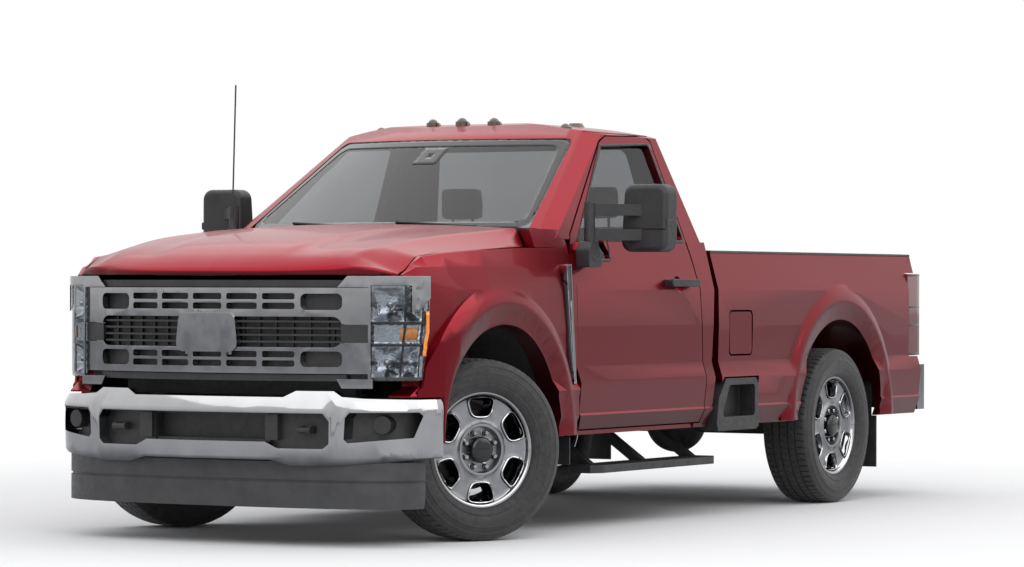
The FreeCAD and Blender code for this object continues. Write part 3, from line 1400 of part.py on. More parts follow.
def fuel_outline(grow=0.0):
    return [(-310 + grow, 815 - grow), (-310 + grow, 1030 + grow), (-560 - grow, 1030 + grow),
        (-560 - grow, 815 - grow)]


def fuel_door_hole():
    return rounded_window_y(fuel_outline(9), 30, 900, 1100)


def make_fuel_door():
    """Fuel door, whose front edge is rolled round its hinge line."""
    hinge_x = size("fuel_hinge_x")
    hinge_y = size("fuel_hinge_y")
    door = rounded_window_y(fuel_outline(), 24, 979, 990)
    door = door.cut(block((hinge_x, hinge_x + 20), (970, 1000), (839, 1006)))
    edge = Part.makeCylinder(5.5, 167, Vector(hinge_x, hinge_y, 839))
    keep_shape("fuel_door", fused([door, edge]))


def make_tail_lamps():
    """Tall tail lamp that wraps the box's rear corner."""
    plan = [
        (-2528, 981), (-2640, 984), (-2710, 972), (-2748, 920), (-2752, 796), (-2694, 796), (-2694, 930),
        (-2528, 930)]
    corner = prism_along_z(plan, 776, 1232)
    keep_shape("tail_lamps", both_sides(corner))


def make_tailgate():
    """Tailgate with a raised spoiler lip along its top."""
    half = size("tailgate_half_width")
    wall = size("tailgate_wall")
    rear = -2756
    low = size("tailgate_bottom_z")
    profile = [
        (rear + wall, low), (rear + wall, 1322), (rear + 4, 1330), (rear - 14, 1318), (rear, 1286),
        (rear, 1180), (rear + 10, 1160), (rear + 10, 900), (rear, 880), (rear, low)]
    gate = prism_along_y(profile, -half, half)
    handle = block((rear - 1, rear + 14), (-110, 110), (1200, 1268))
    hinge_x = size("tailgate_hinge_x")
    hinge_z = size("tailgate_hinge_z")
    trunnion = Part.makeCylinder(
        TRUNNION_RADIUS, 2 * half + 30, Vector(hinge_x, -half - 15, hinge_z), Vector(0, 1, 0))
    keep_shape("tailgate", fused([gate.cut(handle), trunnion]))


def make_rear_bumper():
    """Rear bumper with its step pad, hitch ball hole and brackets."""
    plan = [
        (-2768, -935), (-2850, -940), (-2925, -880), (-2944, -700), (-2944, 700), (-2925, 880),
        (-2850, 940), (-2768, 935)]
    pad = prism_along_z(plan, 700, 723)
    face_plan = [
        (-2850, -940), (-2925, -880), (-2944, -700), (-2944, 700), (-2925, 880), (-2850, 940), (-2768, 935),
        (-2768, 915),
        (-2840, 918), (-2905, 865), (-2922, 690), (-2922, -690), (-2905, -865), (-2840, -918),
        (-2768, -915), (-2768, -935)]
    face = prism_along_z(face_plan, 470, 700)
    plate_room = rounded_window_x([(-170, 520), (170, 520), (170, 650), (-170, 650)], 20, -3000, -2900)
    face = face.cut(plate_room)
    plate_back = block((-2922, -2912), (-180, 180), (510, 660))
    ball = Part.makeCylinder(size("hitch_ball_hole_radius"), 100, Vector(-2870, 0, 650))
    brackets = [
        block((-2840, -2640), sorted((side * 470, side * 500)), (560, 700)) for side in (1, -1)]
    arms = [block((-2922, -2800), sorted((side * 470, side * 500)), (560, 700)) for side in (1, -1)]
    keep_shape("rear_bumper", fused([pad, face, plate_back] + brackets + arms).cut(ball))


def make_rail_caps():
    """Black mouldings over the tops of the box's walls."""
    top = size("rail_top_z")
    side_cap = prism_along_x([(862, top), (944, top), (940, top + 10), (868, top + 12)], -2640,
        size("box_front_x"))
    front_cap = block((size("box_front_x") - 34, size("box_front_x")), (-874, 874), (top - 2, top + 10))
    keep_shape("rail_caps", fused([side_cap, front_cap, other_side(side_cap)]))


# Steps.

def make_running_boards():
    """Flat running boards on brackets under the doors."""
    body = doc.addObject("PartDesign::Body", "running_board_body")
    sketch = sketch_on(body, "XY_Plane", "running_board_plan")
    length = size("running_board_length")
    width = size("running_board_width")
    draw_loop(sketch, [(0, 12), (-50, 0), (50 - length, 0), (-length, 14), (-length, width - 30),
        (60 - length, width), (-70, width), (0, width - 34)])
    pad = body.newObject("PartDesign::Pad", "running_board_pad")
    pad.Profile = sketch
    pad.setExpression("Length", "<<Sizes>>.running_board_height")
    doc.recompute()
    left = body.Shape.copy()
    left.translate(Vector(size("running_board_x"), 800, 264))
    brackets = []
    for x in (930, 400, -130):
        brackets.append(prism_along_x([(470, 520), (470, 560), (520, 560), (900, 290), (900, 268),
            (860, 264), (500, 520)], x - 25, x + 25))
    step = fused([left] + brackets)
    return step


def box_step():
    """Side step let into the box's lower front corner, with its own open pocket."""
    outer = prism_along_y([(-116, 470), (-140, 596), (-222, 694), (-560, 694), (-586, 660), (-586, 444),
        (-560, 430), (-130, 430)], 900, 1018)
    pocket = rounded_window_y([(-175, 500), (-260, 660), (-545, 660), (-545, 500)], 20, 925, 1100)
    tread = block((-545, -170), (925, 1010), (470, 500))
    bracket = block((-480, -400), (470, 905), (520, 560))
    return fused([outer.cut(pocket), tread, bracket])


def make_steps():
    left = [make_running_boards(), box_step()]
    keep_shape("steps", Part.makeCompound(left + [other_side(piece) for piece in left]))


# Roof lamps, antenna, cowl and cabin fittings.

def make_roof_lamps():
    """Five clearance lamps over the windscreen and the low dome at the roof's rear."""
    lamps = []
    for x, y, z in ((684, 0, 1960), (672, 177, 1957), (672, -177, 1957), (587, 534, 1925),
            (587, -534, 1925)):
        base = Part.makeCylinder(34, 30, Vector(x, y, z - 14))
        bulb = Part.makeSphere(26, Vector(x, y, z + 10))
        tail = rod((x - 52, y, z + 2), (x, y, z + 8), 16)
        lamps.append(fused([base, bulb, tail]))
    lamps.append(Part.makeCone(64, 34, 50, Vector(60, 300, 1935)))
    roof = greenhouse(0, 0)
    keep_shape("roof_lamps", Part.makeCompound([lamp.cut(roof) for lamp in lamps]))


def screen_x(y, z):
    """Outer face of the windscreen at a height and a distance from the middle."""
    half, corner_half, front_centre, front_corner, rear = cab_section(z, 0)
    bow = front_centre - front_corner
    radius = (corner_half ** 2 + bow ** 2) / (2 * bow)
    return front_centre - radius + math.sqrt(radius ** 2 - y ** 2)


def make_cowl():
    """Black cowl between hood and windscreen, with two wipers and the whip antenna."""
    half = [(1400, 0), (1400, 836), (1586, 836), (1586, 0)]
    outline = half + [(x, -y) for x, y in reversed(half[1:-1])]
    panel = prism_along_z(outline, 1399, 1430).cut(greenhouse(0, 0))
    parts = [panel]
    for y in (560, -60):
        foot = (screen_x(y, 1430) + 18, y, 1420)
        tip = (screen_x(y - 430, 1462) + 12, y - 430, 1462)
        parts.append(rod(foot, (foot[0], y, 1444), 11))
        parts.append(rod((foot[0], y, 1440), tip, 6))
    mast = rod((1520, -812, 1425), (1490, -812, 2140), 4)
    mast_foot = Part.makeCone(20, 9, 60, Vector(1520, -812, 1420))
    keep_shape("cowl", fused(parts + [mast, mast_foot]))


def make_dashboard():
    """Dashboard with its steering column and wheel."""
    profile = [(1330, 960), (1330, 1368), (1240, 1385), (1090, 1330), (1060, 1230), (1120, 1080),
        (1200, 960)]
    board = prism_along_y(profile, -772, 772)
    column = rod((1150, 400, 1180), (930, 400, 1262), 38)
    axis = Vector(-0.937, 0, 0.349)
    rim = Part.makeTorus(185, 15, Vector(920, 400, 1266), axis)
    hub = Part.makeCylinder(70, 45, Vector(940, 400, 1258), axis)
    spokes = [
        rod((920, 400, 1266), (920, 400 + side * 185, 1266), 13) for side in (1, -1)]
    spokes.append(rod((920, 400, 1266), (858, 400, 1095), 13))
    console = block((1060, 1330), (-140, 140), (815, 1000))
    keep_shape("dashboard", fused([board, column, rim, hub, console] + spokes))


def make_seat():
    """Bench seat split forty, twenty, forty, with two head restraints."""
    cushion = rounded_window_y([(30, 800), (30, 930), (140, 950), (590, 990), (620, 930), (580, 800)], 35,
        -720, 720)
    back = rounded_window_y([(20, 940), (190, 940), (60, 1480), (-60, 1500)], 40, -720, 720)
    base = block((60, 560), (-660, 660), (size("floor_z"), 805))
    parts = [cushion, back, base]
    for side in (1, -1):
        parts.append(rounded_window_y([(-40, 1455), (60, 1455), (60, 1680), (-25, 1680)], 30,
            side * 400 - 125, side * 400 + 125))
    keep_shape("bench_seat", fused(parts))


make_wheels()
make_knuckles()
make_tie_rod()
make_frame()
make_front_axle()
make_rear_axle()
make_springs()
make_engine()
make_driveline()
make_tank()
make_exhaust()
make_cab()
make_glass()
make_doors()
make_mirrors()
make_hood()
make_fenders()
make_vents()
make_grille()
make_headlamps()
make_lamp_brackets()
make_bumper()
make_box_tub()
make_box_sides()
make_fuel_door()
make_tail_lamps()
make_tailgate()
make_rear_bumper()
make_rail_caps()
make_steps()
make_roof_lamps()
make_cowl()
make_dashboard()
make_seat()


def check_and_write():
    doc.recompute()
    for thing in doc.Objects:
        if "Invalid" in thing.State or "Error" in thing.State:
            raise RuntimeError("failed object " + thing.Label)
    os.makedirs("parts", exist_ok=True)
    for node in nodes:
        shape = node.Shape
        if shape.isNull() or not shape.isValid():
            raise RuntimeError("bad shape " + node.Label)
        solid_count = len(shape.Solids)
        box = shape.BoundBox
        print("%-20s solids %2d  volume %8.2f l  x %6.0f %6.0f  y %6.0f %6.0f  z %5.0f %5.0f" % (
            node.Label, solid_count, shape.Volume / 1e6,
            box.XMin, box.XMax, box.YMin, box.YMax, box.ZMin, box.ZMax))
        shape.exportStep("parts/%s.step" % node.Label)


check_and_write()
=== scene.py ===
import json
import math

import bmesh
import bpy
from mathutils import Matrix, Vector
from mathutils.bvhtree import BVHTree


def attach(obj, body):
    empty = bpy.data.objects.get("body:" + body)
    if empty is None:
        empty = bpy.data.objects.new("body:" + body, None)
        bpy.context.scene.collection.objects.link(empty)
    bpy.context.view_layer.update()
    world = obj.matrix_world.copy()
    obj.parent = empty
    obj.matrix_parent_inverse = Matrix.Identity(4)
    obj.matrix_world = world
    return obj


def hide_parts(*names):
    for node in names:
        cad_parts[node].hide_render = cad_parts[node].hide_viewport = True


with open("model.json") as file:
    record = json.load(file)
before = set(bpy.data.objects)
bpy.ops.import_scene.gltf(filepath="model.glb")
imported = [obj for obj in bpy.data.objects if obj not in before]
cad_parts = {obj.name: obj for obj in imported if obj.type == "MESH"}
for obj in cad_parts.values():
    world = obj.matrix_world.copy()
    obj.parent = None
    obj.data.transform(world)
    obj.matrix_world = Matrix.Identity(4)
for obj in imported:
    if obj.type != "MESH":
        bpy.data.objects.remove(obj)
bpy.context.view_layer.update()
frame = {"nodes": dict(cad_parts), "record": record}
bpy.context.scene.view_settings.view_transform = "Standard"
CAD_NODES = frame["nodes"]


def add_object(name, data):
    """An object in the scene that shows some data."""
    item = bpy.data.objects.new(name, data)
    bpy.context.scene.collection.objects.link(item)
    return item


# Camera, at the photograph's place. Its angles are in degrees.

CAMERA_PLACE = (16.983, 9.702, 1.151)
CAMERA_YAW, CAMERA_PITCH, CAMERA_ROLL = -149.99, 0.06, 0.12
CAMERA_LENS = 133.97


def make_camera():
    data = bpy.data.cameras.new("camera")
    camera = add_object("camera", data)
    yaw = math.radians(CAMERA_YAW)
    pitch = math.radians(CAMERA_PITCH)
    roll = math.radians(CAMERA_ROLL)
    ahead = Vector((math.cos(yaw) * math.cos(pitch), math.sin(yaw) * math.cos(pitch), math.sin(pitch)))
    right = ahead.cross(Vector((0, 0, 1))).normalized()
    up = right.cross(ahead)
    turned_right = right * math.cos(roll) + up * math.sin(roll)
    turned_up = up * math.cos(roll) - right * math.sin(roll)
    axes = Matrix((turned_right, turned_up, -ahead)).transposed()
    camera.matrix_world = Matrix.Translation(Vector(CAMERA_PLACE)) @ axes.to_4x4()
    data.sensor_width = 36
    data.lens = CAMERA_LENS
    data.clip_end = 400
    bpy.context.scene.camera = camera


# Materials.

class ShaderTree:
    """Short calls for a tree of shader nodes. Underscores in names stand for spaces."""

    def __init__(self, tree):
        self.tree = tree

    def add(self, kind, **values):
        node = self.tree.nodes.new(kind)
        for key, value in values.items():
            if hasattr(node, key):
                setattr(node, key, value)
            else:
                node.inputs[key.replace("_", " ")].default_value = value
        return node

    def join(self, output, socket):
        self.tree.links.new(output, socket)

    def calculate(self, operation, *sources):
        """The value of a Math node, from outputs of other nodes and from numbers."""
        node = self.add("ShaderNodeMath", operation=operation)
        for source, socket in zip(sources, node.inputs):
            if isinstance(source, float):
                socket.default_value = source
            else:
                self.join(source, socket)
        return node.outputs[0]

    def show(self, share, first, second):
        """Let the tree's output show a mix of two shaders."""
        mix = self.add("ShaderNodeMixShader")
        for source, socket in zip((share, first.outputs[0], second.outputs[0]), mix.inputs):
            self.join(source, socket)
        self.join(mix.outputs[0], self.tree.get_output_node("ALL").inputs["Surface"])


class Shader(ShaderTree):
    """A Principled material."""

    def __init__(self, name, **values):
        self.material = bpy.data.materials.new(name)
        self.material.use_nodes = True
        super().__init__(self.material.node_tree)
        self.main = self.tree.nodes["Principled BSDF"]
        places = self.add("ShaderNodeTexCoord").outputs
        self.coords = places["Object"]
        self.normals = places["Normal"]
        for key, value in values.items():
            self.main.inputs[key.replace("_", " ")].default_value = value

    def noise(self, scale, detail=4.0):
        node = self.add("ShaderNodeTexNoise", Scale=scale, Detail=detail)
        self.join(self.coords, node.inputs["Vector"])
        return node.outputs["Fac"]

    def cells(self, scale):
        """Distance to the nearest of scattered points."""
        node = self.add("ShaderNodeTexVoronoi", Scale=scale)
        self.join(self.coords, node.inputs["Vector"])
        return node.outputs["Distance"]

    def between(self, factor, low, high, start=0.0, end=1.0):
        """A number that runs from low to high as factor runs from start to end."""
        node = self.add("ShaderNodeMapRange")
        for key, value in zip(("From Min", "From Max", "To Min", "To Max"), (start, end, low, high)):
            node.inputs[key].default_value = value
        self.join(factor, node.inputs["Value"])
        return node.outputs["Result"]

    def blend(self, factor, first, second, start=0.0, end=1.0):
        """A colour that runs from first to second as factor runs from start to end."""
        node = self.add("ShaderNodeValToRGB")
        ramp = node.color_ramp.elements
        ramp[0].position = start
        ramp[1].position = end
        ramp[0].color = (*first, 1)
        ramp[1].color = (*second, 1)
        self.join(factor, node.inputs["Fac"])
        return node.outputs["Color"]

    def painted_light_by_facing(self, low, high, mottle, share):
        """Share of painted light and shade: from 0 to 1 as the surface's normal rises from low to high, with
        a share of mottling added.
        """
        split = self.add("ShaderNodeSeparateXYZ")
        self.join(self.normals, split.inputs[0])
        upward = self.between(split.outputs["Z"], 0.0, 1.0, low, high)
        return self.calculate("MULTIPLY_ADD", mottle, share, upward)

    def bump(self, height, strength, distance):
        node = self.add("ShaderNodeBump", Strength=strength, Distance=distance)
        self.join(height, node.inputs["Height"])
        self.join(node.outputs["Normal"], self.main.inputs["Normal"])

    def feed(self, socket, output):
        self.join(output, self.main.inputs[socket])

    def wander(self, scale, low, high, detail=4.0, end=0.7):
        """Roughness that wanders between two values."""
        self.feed("Roughness", self.between(self.noise(scale, detail), low, high, 0.3, end))


def make_paint():
    """Deep metallic red with painted light and shade: lighter where it faces up, darker where it faces down,
    with a little random mottling.
    """
    shader = Shader("red_metallic_paint", Metallic=0.9, Coat_Weight=0.22, Coat_Roughness=0.03, Coat_IOR=1.5)
    painted_shading = shader.painted_light_by_facing(-0.30, 0.55, shader.noise(3.0), 0.10)
    # Painted light and shade: the red is lighter on upward faces and darker on downward faces.
    shader.feed("Base Color", shader.blend(painted_shading, (0.06, 0.0003, 0.0026), (0.25, 0.0018, 0.0115), 0.04, 1.0))
    shader.wander(1400, 0.27, 0.42, 1)
    shader.bump(shader.noise(1900, 1), 0.05, 0.0004)
    return shader.material


def make_chrome():
    """Bright plate with a painted reflection: lighter where it faces up, standing in for the sky, and darker
    where it faces down, standing in for the ground.
    """
    shader = Shader("chrome_plate", Metallic=1.0)
    painted_shading = shader.painted_light_by_facing(-0.5, 0.85, shader.noise(9.0), 0.12)
    # Painted reflection: the plate is lighter on upward faces and darker on downward faces.
    shader.feed("Base Color", shader.blend(painted_shading, (0.06, 0.06, 0.065), (0.68, 0.685, 0.70), 0.06, 1.0))
    shader.wander(14.0, 0.04, 0.12, 6, 0.75)
    return shader.material


def make_mottled(name, mottling, tones, roughness, ripples=None, cells=None, **values):
    """A material of two tones.

    mottling: scale and detail. tones: darker, lighter, and perhaps the ends of the blend. roughness:
    scale, lowest, highest, detail. ripples: scale, detail, strength and depth of a bump from noise.
    cells: scale, strength and depth of a bump from scattered points.
    """
    shader = Shader(name, **values)
    ends = tones[2:] or (0.3, 0.7)
    shader.feed("Base Color", shader.blend(shader.noise(*mottling), *tones[:2], *ends))
    shader.wander(*roughness)
    if ripples:
        shader.bump(shader.noise(*ripples[:2]), *ripples[2:])
    if cells:
        shader.bump(shader.cells(cells[0]), *cells[1:])
    return shader.material


def make_plastic(name, dark, light, roughness=(0.42, 0.6), grain=900, strength=0.25):
    return make_mottled(name, (11.0,), (dark, light), (40.0, *roughness), cells=(grain, strength, 0.0006))


def make_glass(name, tint, gloss=1.0):
    """Thin tinted pane: see-through, with a sharp reflection that grows at low angles."""
    shader = Shader(name)
    shader.tree.nodes.remove(shader.main)
    clear = shader.add("ShaderNodeBsdfTransparent")
    deeper = tuple(channel * 0.92 for channel in tint)
    shader.join(shader.blend(shader.noise(1.5), tint, deeper, 0.3, 0.7), clear.inputs["Color"])
    mirror = shader.add("ShaderNodeBsdfGlossy", Roughness=0.02, Color=(gloss, gloss, gloss, 1))
    edge = shader.add("ShaderNodeFresnel", IOR=1.5)
    back = shader.add("ShaderNodeNewGeometry").outputs["Backfacing"]
    outside = shader.calculate("MULTIPLY", edge.outputs[0], shader.between(back, 1.0, 0.0))
    shader.show(outside, clear, mirror)
    return shader.material


def make_lens(name, dark, light):
    """Coloured lens, darker in the middles of its small cells."""
    shader = Shader(name, Coat_Weight=1.0, Coat_Roughness=0.03)
    shader.feed("Base Color", shader.blend(shader.cells(160), dark, light, 0.2, 0.8))
    shader.feed("Roughness", shader.between(shader.noise(50.0), 0.08, 0.18))
    shader.bump(shader.cells(160), 0.2, 0.001)
    return shader.material


PAINT = make_paint()
CHROME = make_chrome()
BLACK = make_plastic("black_plastic", (0.010, 0.010, 0.011), (0.022, 0.022, 0.023))
GREY = make_plastic("grey_plastic", (0.028, 0.028, 0.030), (0.045, 0.045, 0.047))
GLOSS_BLACK = make_plastic(
    "gloss_black", (0.004, 0.004, 0.005), (0.008, 0.008, 0.009), (0.06, 0.14), 1500, 0.02)
TRIM = make_plastic("cabin_trim", (0.03, 0.03, 0.032), (0.05, 0.05, 0.052), (0.5, 0.7), 700, 0.3)
REFLECTOR = make_mottled(
    "lamp_reflector", (30.0,), ((0.42, 0.43, 0.45), (0.52, 0.53, 0.55)), (80.0, 0.06, 0.16),
    cells=(90, 0.35, 0.003), Metallic=1.0)
RUBBER = make_mottled(
    "tyre_rubber", (22.0, 6), ((0.014, 0.014, 0.015), (0.028, 0.027, 0.027)), (60.0, 0.58, 0.82),
    ripples=(700.0, 3, 0.25, 0.0006), Sheen_Weight=0.15, Sheen_Roughness=0.5)
CAST = make_mottled(
    "cast_steel", (18.0, 6), ((0.035, 0.033, 0.032), (0.075, 0.068, 0.062)), (50.0, 0.5, 0.8),
    ripples=(260.0, 5, 0.35, 0.001), Metallic=0.5)
FRAME_PAINT = make_mottled(
    "frame_paint", (12.0, 5), ((0.012, 0.012, 0.013), (0.03, 0.029, 0.028)), (30.0, 0.35, 0.6),
    ripples=(120.0, 4, 0.12, 0.0008))
PIPE = make_mottled(
    "exhaust_steel", (15.0, 6), ((0.22, 0.19, 0.16), (0.34, 0.32, 0.30)), (45.0, 0.3, 0.55, 5), Metallic=0.9)
SATIN = make_mottled(
    "satin_alloy", (20.0,), ((0.20, 0.205, 0.215), (0.27, 0.275, 0.285)), (60.0, 0.28, 0.42, 5),
    Metallic=0.85)
CLOTH = make_mottled(
    "seat_cloth", (260.0, 2), ((0.17, 0.17, 0.174), (0.28, 0.28, 0.285), 0.35, 0.65), (30.0, 0.75, 0.95),
    cells=(650, 0.5, 0.001), Sheen_Weight=0.35, Sheen_Roughness=0.4)
GLASS = make_glass("tinted_glass", (0.62, 0.63, 0.64), 0.7)
CLEAR = make_glass("lamp_cover", (0.86, 0.88, 0.90))
AMBER = make_lens("amber_lens", (0.70, 0.17, 0.01), (0.95, 0.33, 0.02))
WHITE_LENS = make_lens("white_lens", (0.42, 0.42, 0.43), (0.62, 0.62, 0.64))
SMOKED = make_lens("smoked_amber_lens", (0.035, 0.018, 0.010), (0.085, 0.040, 0.016))
RED_LENS = make_lens("red_lens", (0.06, 0.0, 0.002), (0.15, 0.001, 0.005))

MATERIAL_OF_SLOT = {
    "red_paint": PAINT, "chrome": CHROME, "black_frame": FRAME_PAINT, "cast_steel": CAST,
    "black_plastic": BLACK, "grey_plastic": GREY, "gloss_black": GLOSS_BLACK, "glass": GLASS,
    "lamp": CLEAR, "amber": AMBER, "red_lamp": RED_LENS, "tyre": RUBBER, "seat_cloth": CLOTH,
    "steel_pipe": PIPE}
MATERIAL_OF_NODE = {"roof_lamps": SMOKED, "dashboard": TRIM}
ROUND_FORMS = ("tyre", "springs", "cab_glass", "door_glass")
FINE_EDGES = ("front_bumper", "grille_mesh", "roof_lamps", "bumper_inserts")
WELD_REACH = 0.00005
FLAT_ANGLE = 0.5
EDGE_ANGLE = 32
NORMAL_WEIGHT = 60


def dress_frame():
    """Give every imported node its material, and soft edges to those with flat faces."""
    slots = {row["node"]: row["material_slot"] for row in frame["record"]["subparts"]}
    for name, node in CAD_NODES.items():
        node.data.materials.clear()
        node.data.materials.append(MATERIAL_OF_NODE.get(name, MATERIAL_OF_SLOT[slots[name]]))
        weld = node.modifiers.new("weld", "WELD")
        weld.merge_threshold = WELD_REACH
        if not name.startswith(ROUND_FORMS):
            flat = node.modifiers.new("flat", "DECIMATE")
            flat.decimate_type = "DISSOLVE"
            flat.angle_limit = math.radians(FLAT_ANGLE)
            soften(node, 1.5 if name in FINE_EDGES else 3)
        for polygon in node.data.polygons:
            polygon.use_smooth = True
        smooth = node.modifiers.new("normals", "WEIGHTED_NORMAL")
        smooth.weight = NORMAL_WEIGHT


# Stage: floor, sky and lamps.

FLOOR_HALF = 150
FLOOR_FADE = (3.4, 6.5)


def make_floor():
    """Pale floor that fades to white, for the camera alone, away from the truck. In metres."""
    mesh = bpy.data.meshes.new("floor")
    corners = [(x * FLOOR_HALF, y * FLOOR_HALF, 0) for x, y in ((-1, -1), (1, -1), (1, 1), (-1, 1))]
    mesh.from_pydata(corners, [], [(0, 1, 2, 3)])
    floor = add_object("floor", mesh)
    shader = Shader("pale_floor", Roughness=0.9)
    shader.feed("Base Color", shader.blend(shader.noise(0.8), (0.80, 0.80, 0.80), (0.82, 0.82, 0.82)))
    distance = shader.add("ShaderNodeVectorMath", operation="LENGTH")
    shader.join(shader.coords, distance.inputs[0])
    far = shader.between(distance.outputs["Value"], 0.0, 1.0, *FLOOR_FADE)
    path = shader.add("ShaderNodeLightPath").outputs
    white = shader.add("ShaderNodeEmission", Strength=1.0)
    shader.show(shader.calculate("MULTIPLY", path["Is Camera Ray"], far), shader.main, white)
    mesh.materials.append(shader.material)


SKY_COLOUR = (0.9, 0.93, 1.0, 1)
SKY_STRENGTH = 0.42


def make_sky():
    """Soft even light, seen as white by the camera, in reflections and through glass."""
    world = bpy.data.worlds.new("studio")
    bpy.context.scene.world = world
    world.use_nodes = True
    sky = ShaderTree(world.node_tree)
    light = sky.tree.nodes["Background"]
    light.inputs["Color"].default_value = SKY_COLOUR
    light.inputs["Strength"].default_value = SKY_STRENGTH
    seen = sky.add("ShaderNodeBackground", Color=(1, 1, 1, 1), Strength=1.0)
    path = sky.add("ShaderNodeLightPath").outputs
    direct = path["Is Camera Ray"]
    for name in ("Is Glossy Ray", "Is Transmission Ray"):
        direct = sky.calculate("MAXIMUM", direct, path[name])
    sky.show(direct, light, seen)


def make_lamp(name, place, aim, size_x, size_y, power):
    """A large soft lamp, in metres and watts, turned towards aim."""
    data = bpy.data.lights.new(name, "AREA")
    data.shape = "RECTANGLE"
    data.size = size_x
    data.size_y = size_y
    data.energy = power
    lamp = add_object(name, data)
    lamp.location = place
    lamp.rotation_euler = (Vector(aim) - Vector(place)).to_track_quat("-Z", "Y").to_euler()


def make_stage():
    make_floor()
    make_sky()
    make_lamp("overhead", (4, 2, 13), (4, 2, 0), 44, 36, 4200)
    make_lamp("front_left", (10, 7, 6.0), (1, 0, 0.8), 9, 7, 300)
    make_lamp("side", (-3, 10, 6.0), (-0.5, 0, 0.8), 10, 6, 200)


# Shapes. Lengths are in millimetres here and become metres in the mesh.

def mesh_piece(name, points, faces, material, slot, body="root", stands_for=(), sharp=40):
    """A piece that rides on a body, smooth apart from edges sharper than sharp degrees."""
    mesh = bpy.data.meshes.new(name)
    mesh.from_pydata([(x / 1000, y / 1000, z / 1000) for x, y, z in points], [], faces)
    tidy = bmesh.new()
    tidy.from_mesh(mesh)
    bmesh.ops.remove_doubles(tidy, verts=tidy.verts, dist=0.00001)
    bmesh.ops.recalc_face_normals(tidy, faces=tidy.faces)
    tidy.to_mesh(mesh)
    tidy.free()
    for polygon in mesh.polygons:
        polygon.use_smooth = True
    mesh.set_sharp_from_angle(angle=math.radians(sharp))
    mesh.materials.append(material)
    piece = add_object(name, mesh)
    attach(piece, body)
    if stands_for:
        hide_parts(*stands_for)
    return piece


def soften(piece, width, segments=2, angle=EDGE_ANGLE):
    """Round the edges of a piece or node that are sharper than angle degrees."""
    soft = piece.modifiers.new("soft", "BEVEL")
    soft.width = width / 1000
    soft.segments = segments
    soft.limit_method = "ANGLE"
    soft.angle_limit = math.radians(angle)


def thicken(piece, thickness, offset=-1):
    """Give a sheet a thickness: inwards at offset -1, to both sides at 0."""
    sheet = piece.modifiers.new("sheet", "SOLIDIFY")
    sheet.thickness = thickness / 1000
    sheet.offset = offset


def grid_faces(rows, columns, wrap_rows=False, wrap_columns=False):
    """Faces of a grid whose points are listed row by row."""
    faces = []
    for row in range(rows if wrap_rows else rows - 1):
        for column in range(columns if wrap_columns else columns - 1):
            below = (row + 1) % rows * columns
            after = (column + 1) % columns
            faces.append((row * columns + column, row * columns + after, below + after, below + column))
    return faces


def spread(low, high, count):
    """Evenly spaced numbers from low to high."""
    return [low + (high - low) * step / (count - 1) for step in range(count)]


def mixed(first, second, share):
    """The flat point a share of the way from first to second."""
    return [a * (1 - share) + b * share for a, b in zip(first, second)]


def straight_read(stations, where):
    """Straight-line reading of a table of (place, value)."""
    for (low, first), (high, second) in zip(stations, stations[1:]):
        if where <= high:
            share = max(0.0, (where - low) / (high - low))
            return first + share * (second - first)
    return stations[-1][1]


def smooth_read(table, where):
    """Reading of a table of (place, value) along a smooth curve, which stops at its ends."""
    last = len(table) - 1
    if where <= table[0][0]:
        return table[0][1]
    if where >= table[last][0]:
        return table[last][1]
    index = 0
    while where > table[index + 1][0]:
        index += 1

    def slope(place):
        before = max(place - 1, 0)
        after = min(place + 1, last)
        return (table[after][1] - table[before][1]) / (table[after][0] - table[before][0])

    (low, first), (high, second) = table[index], table[index + 1]
    width = high - low
    share = (where - low) / width
    bend = share * share * (3 - 2 * share)
    return (
        first * (1 - bend) + second * bend
        + width * (slope(index) * share * (1 - share) ** 2 - slope(index + 1) * share ** 2 * (1 - share)))


def eased(share):
    """From 0 to 1 with a level start and end."""
    share = min(1.0, max(0.0, share))
    return share * share * (3 - 2 * share)


def curve_through(points, count):
    """Evenly spread points on a smooth curve through the given ones."""
    path = []
    last = len(points) - 1
    for step in range(count):
        place = step * last / (count - 1)
        index = min(int(place), last - 1)
        share = place - index
        around = [Vector(points[min(max(index + shift, 0), last)]) for shift in (-1, 0, 1, 2)]
        path.append(0.5 * (
            2 * around[1] + (around[2] - around[0]) * share
            + (2 * around[0] - 5 * around[1] + 4 * around[2] - around[3]) * share ** 2
            + (3 * around[1] - around[0] - 3 * around[2] + around[3]) * share ** 3))
    return path


def tube_mesh(path, radii, sides):
    """Points and faces of a round tube along a path, with a radius at every point and closed ends."""
    path = [Vector(point) for point in path]
    points = []
    count = len(path)
    side = None
    for index, centre in enumerate(path):
        ahead = (path[min(index + 1, count - 1)] - path[max(index - 1, 0)]).normalized()
        if side is None:
            side = ahead.orthogonal().normalized()
        side = (side - ahead * side.dot(ahead)).normalized()
        up = ahead.cross(side)
        for turn in range(sides):
            angle = 2 * math.pi * turn / sides
            points.append(centre + (side * math.cos(angle) + up * math.sin(angle)) * radii[index])
    faces = grid_faces(count, sides, False, True)
    faces.append(tuple(range(sides)))
    faces.append(tuple(range((count - 1) * sides, count * sides)))
    return points, faces


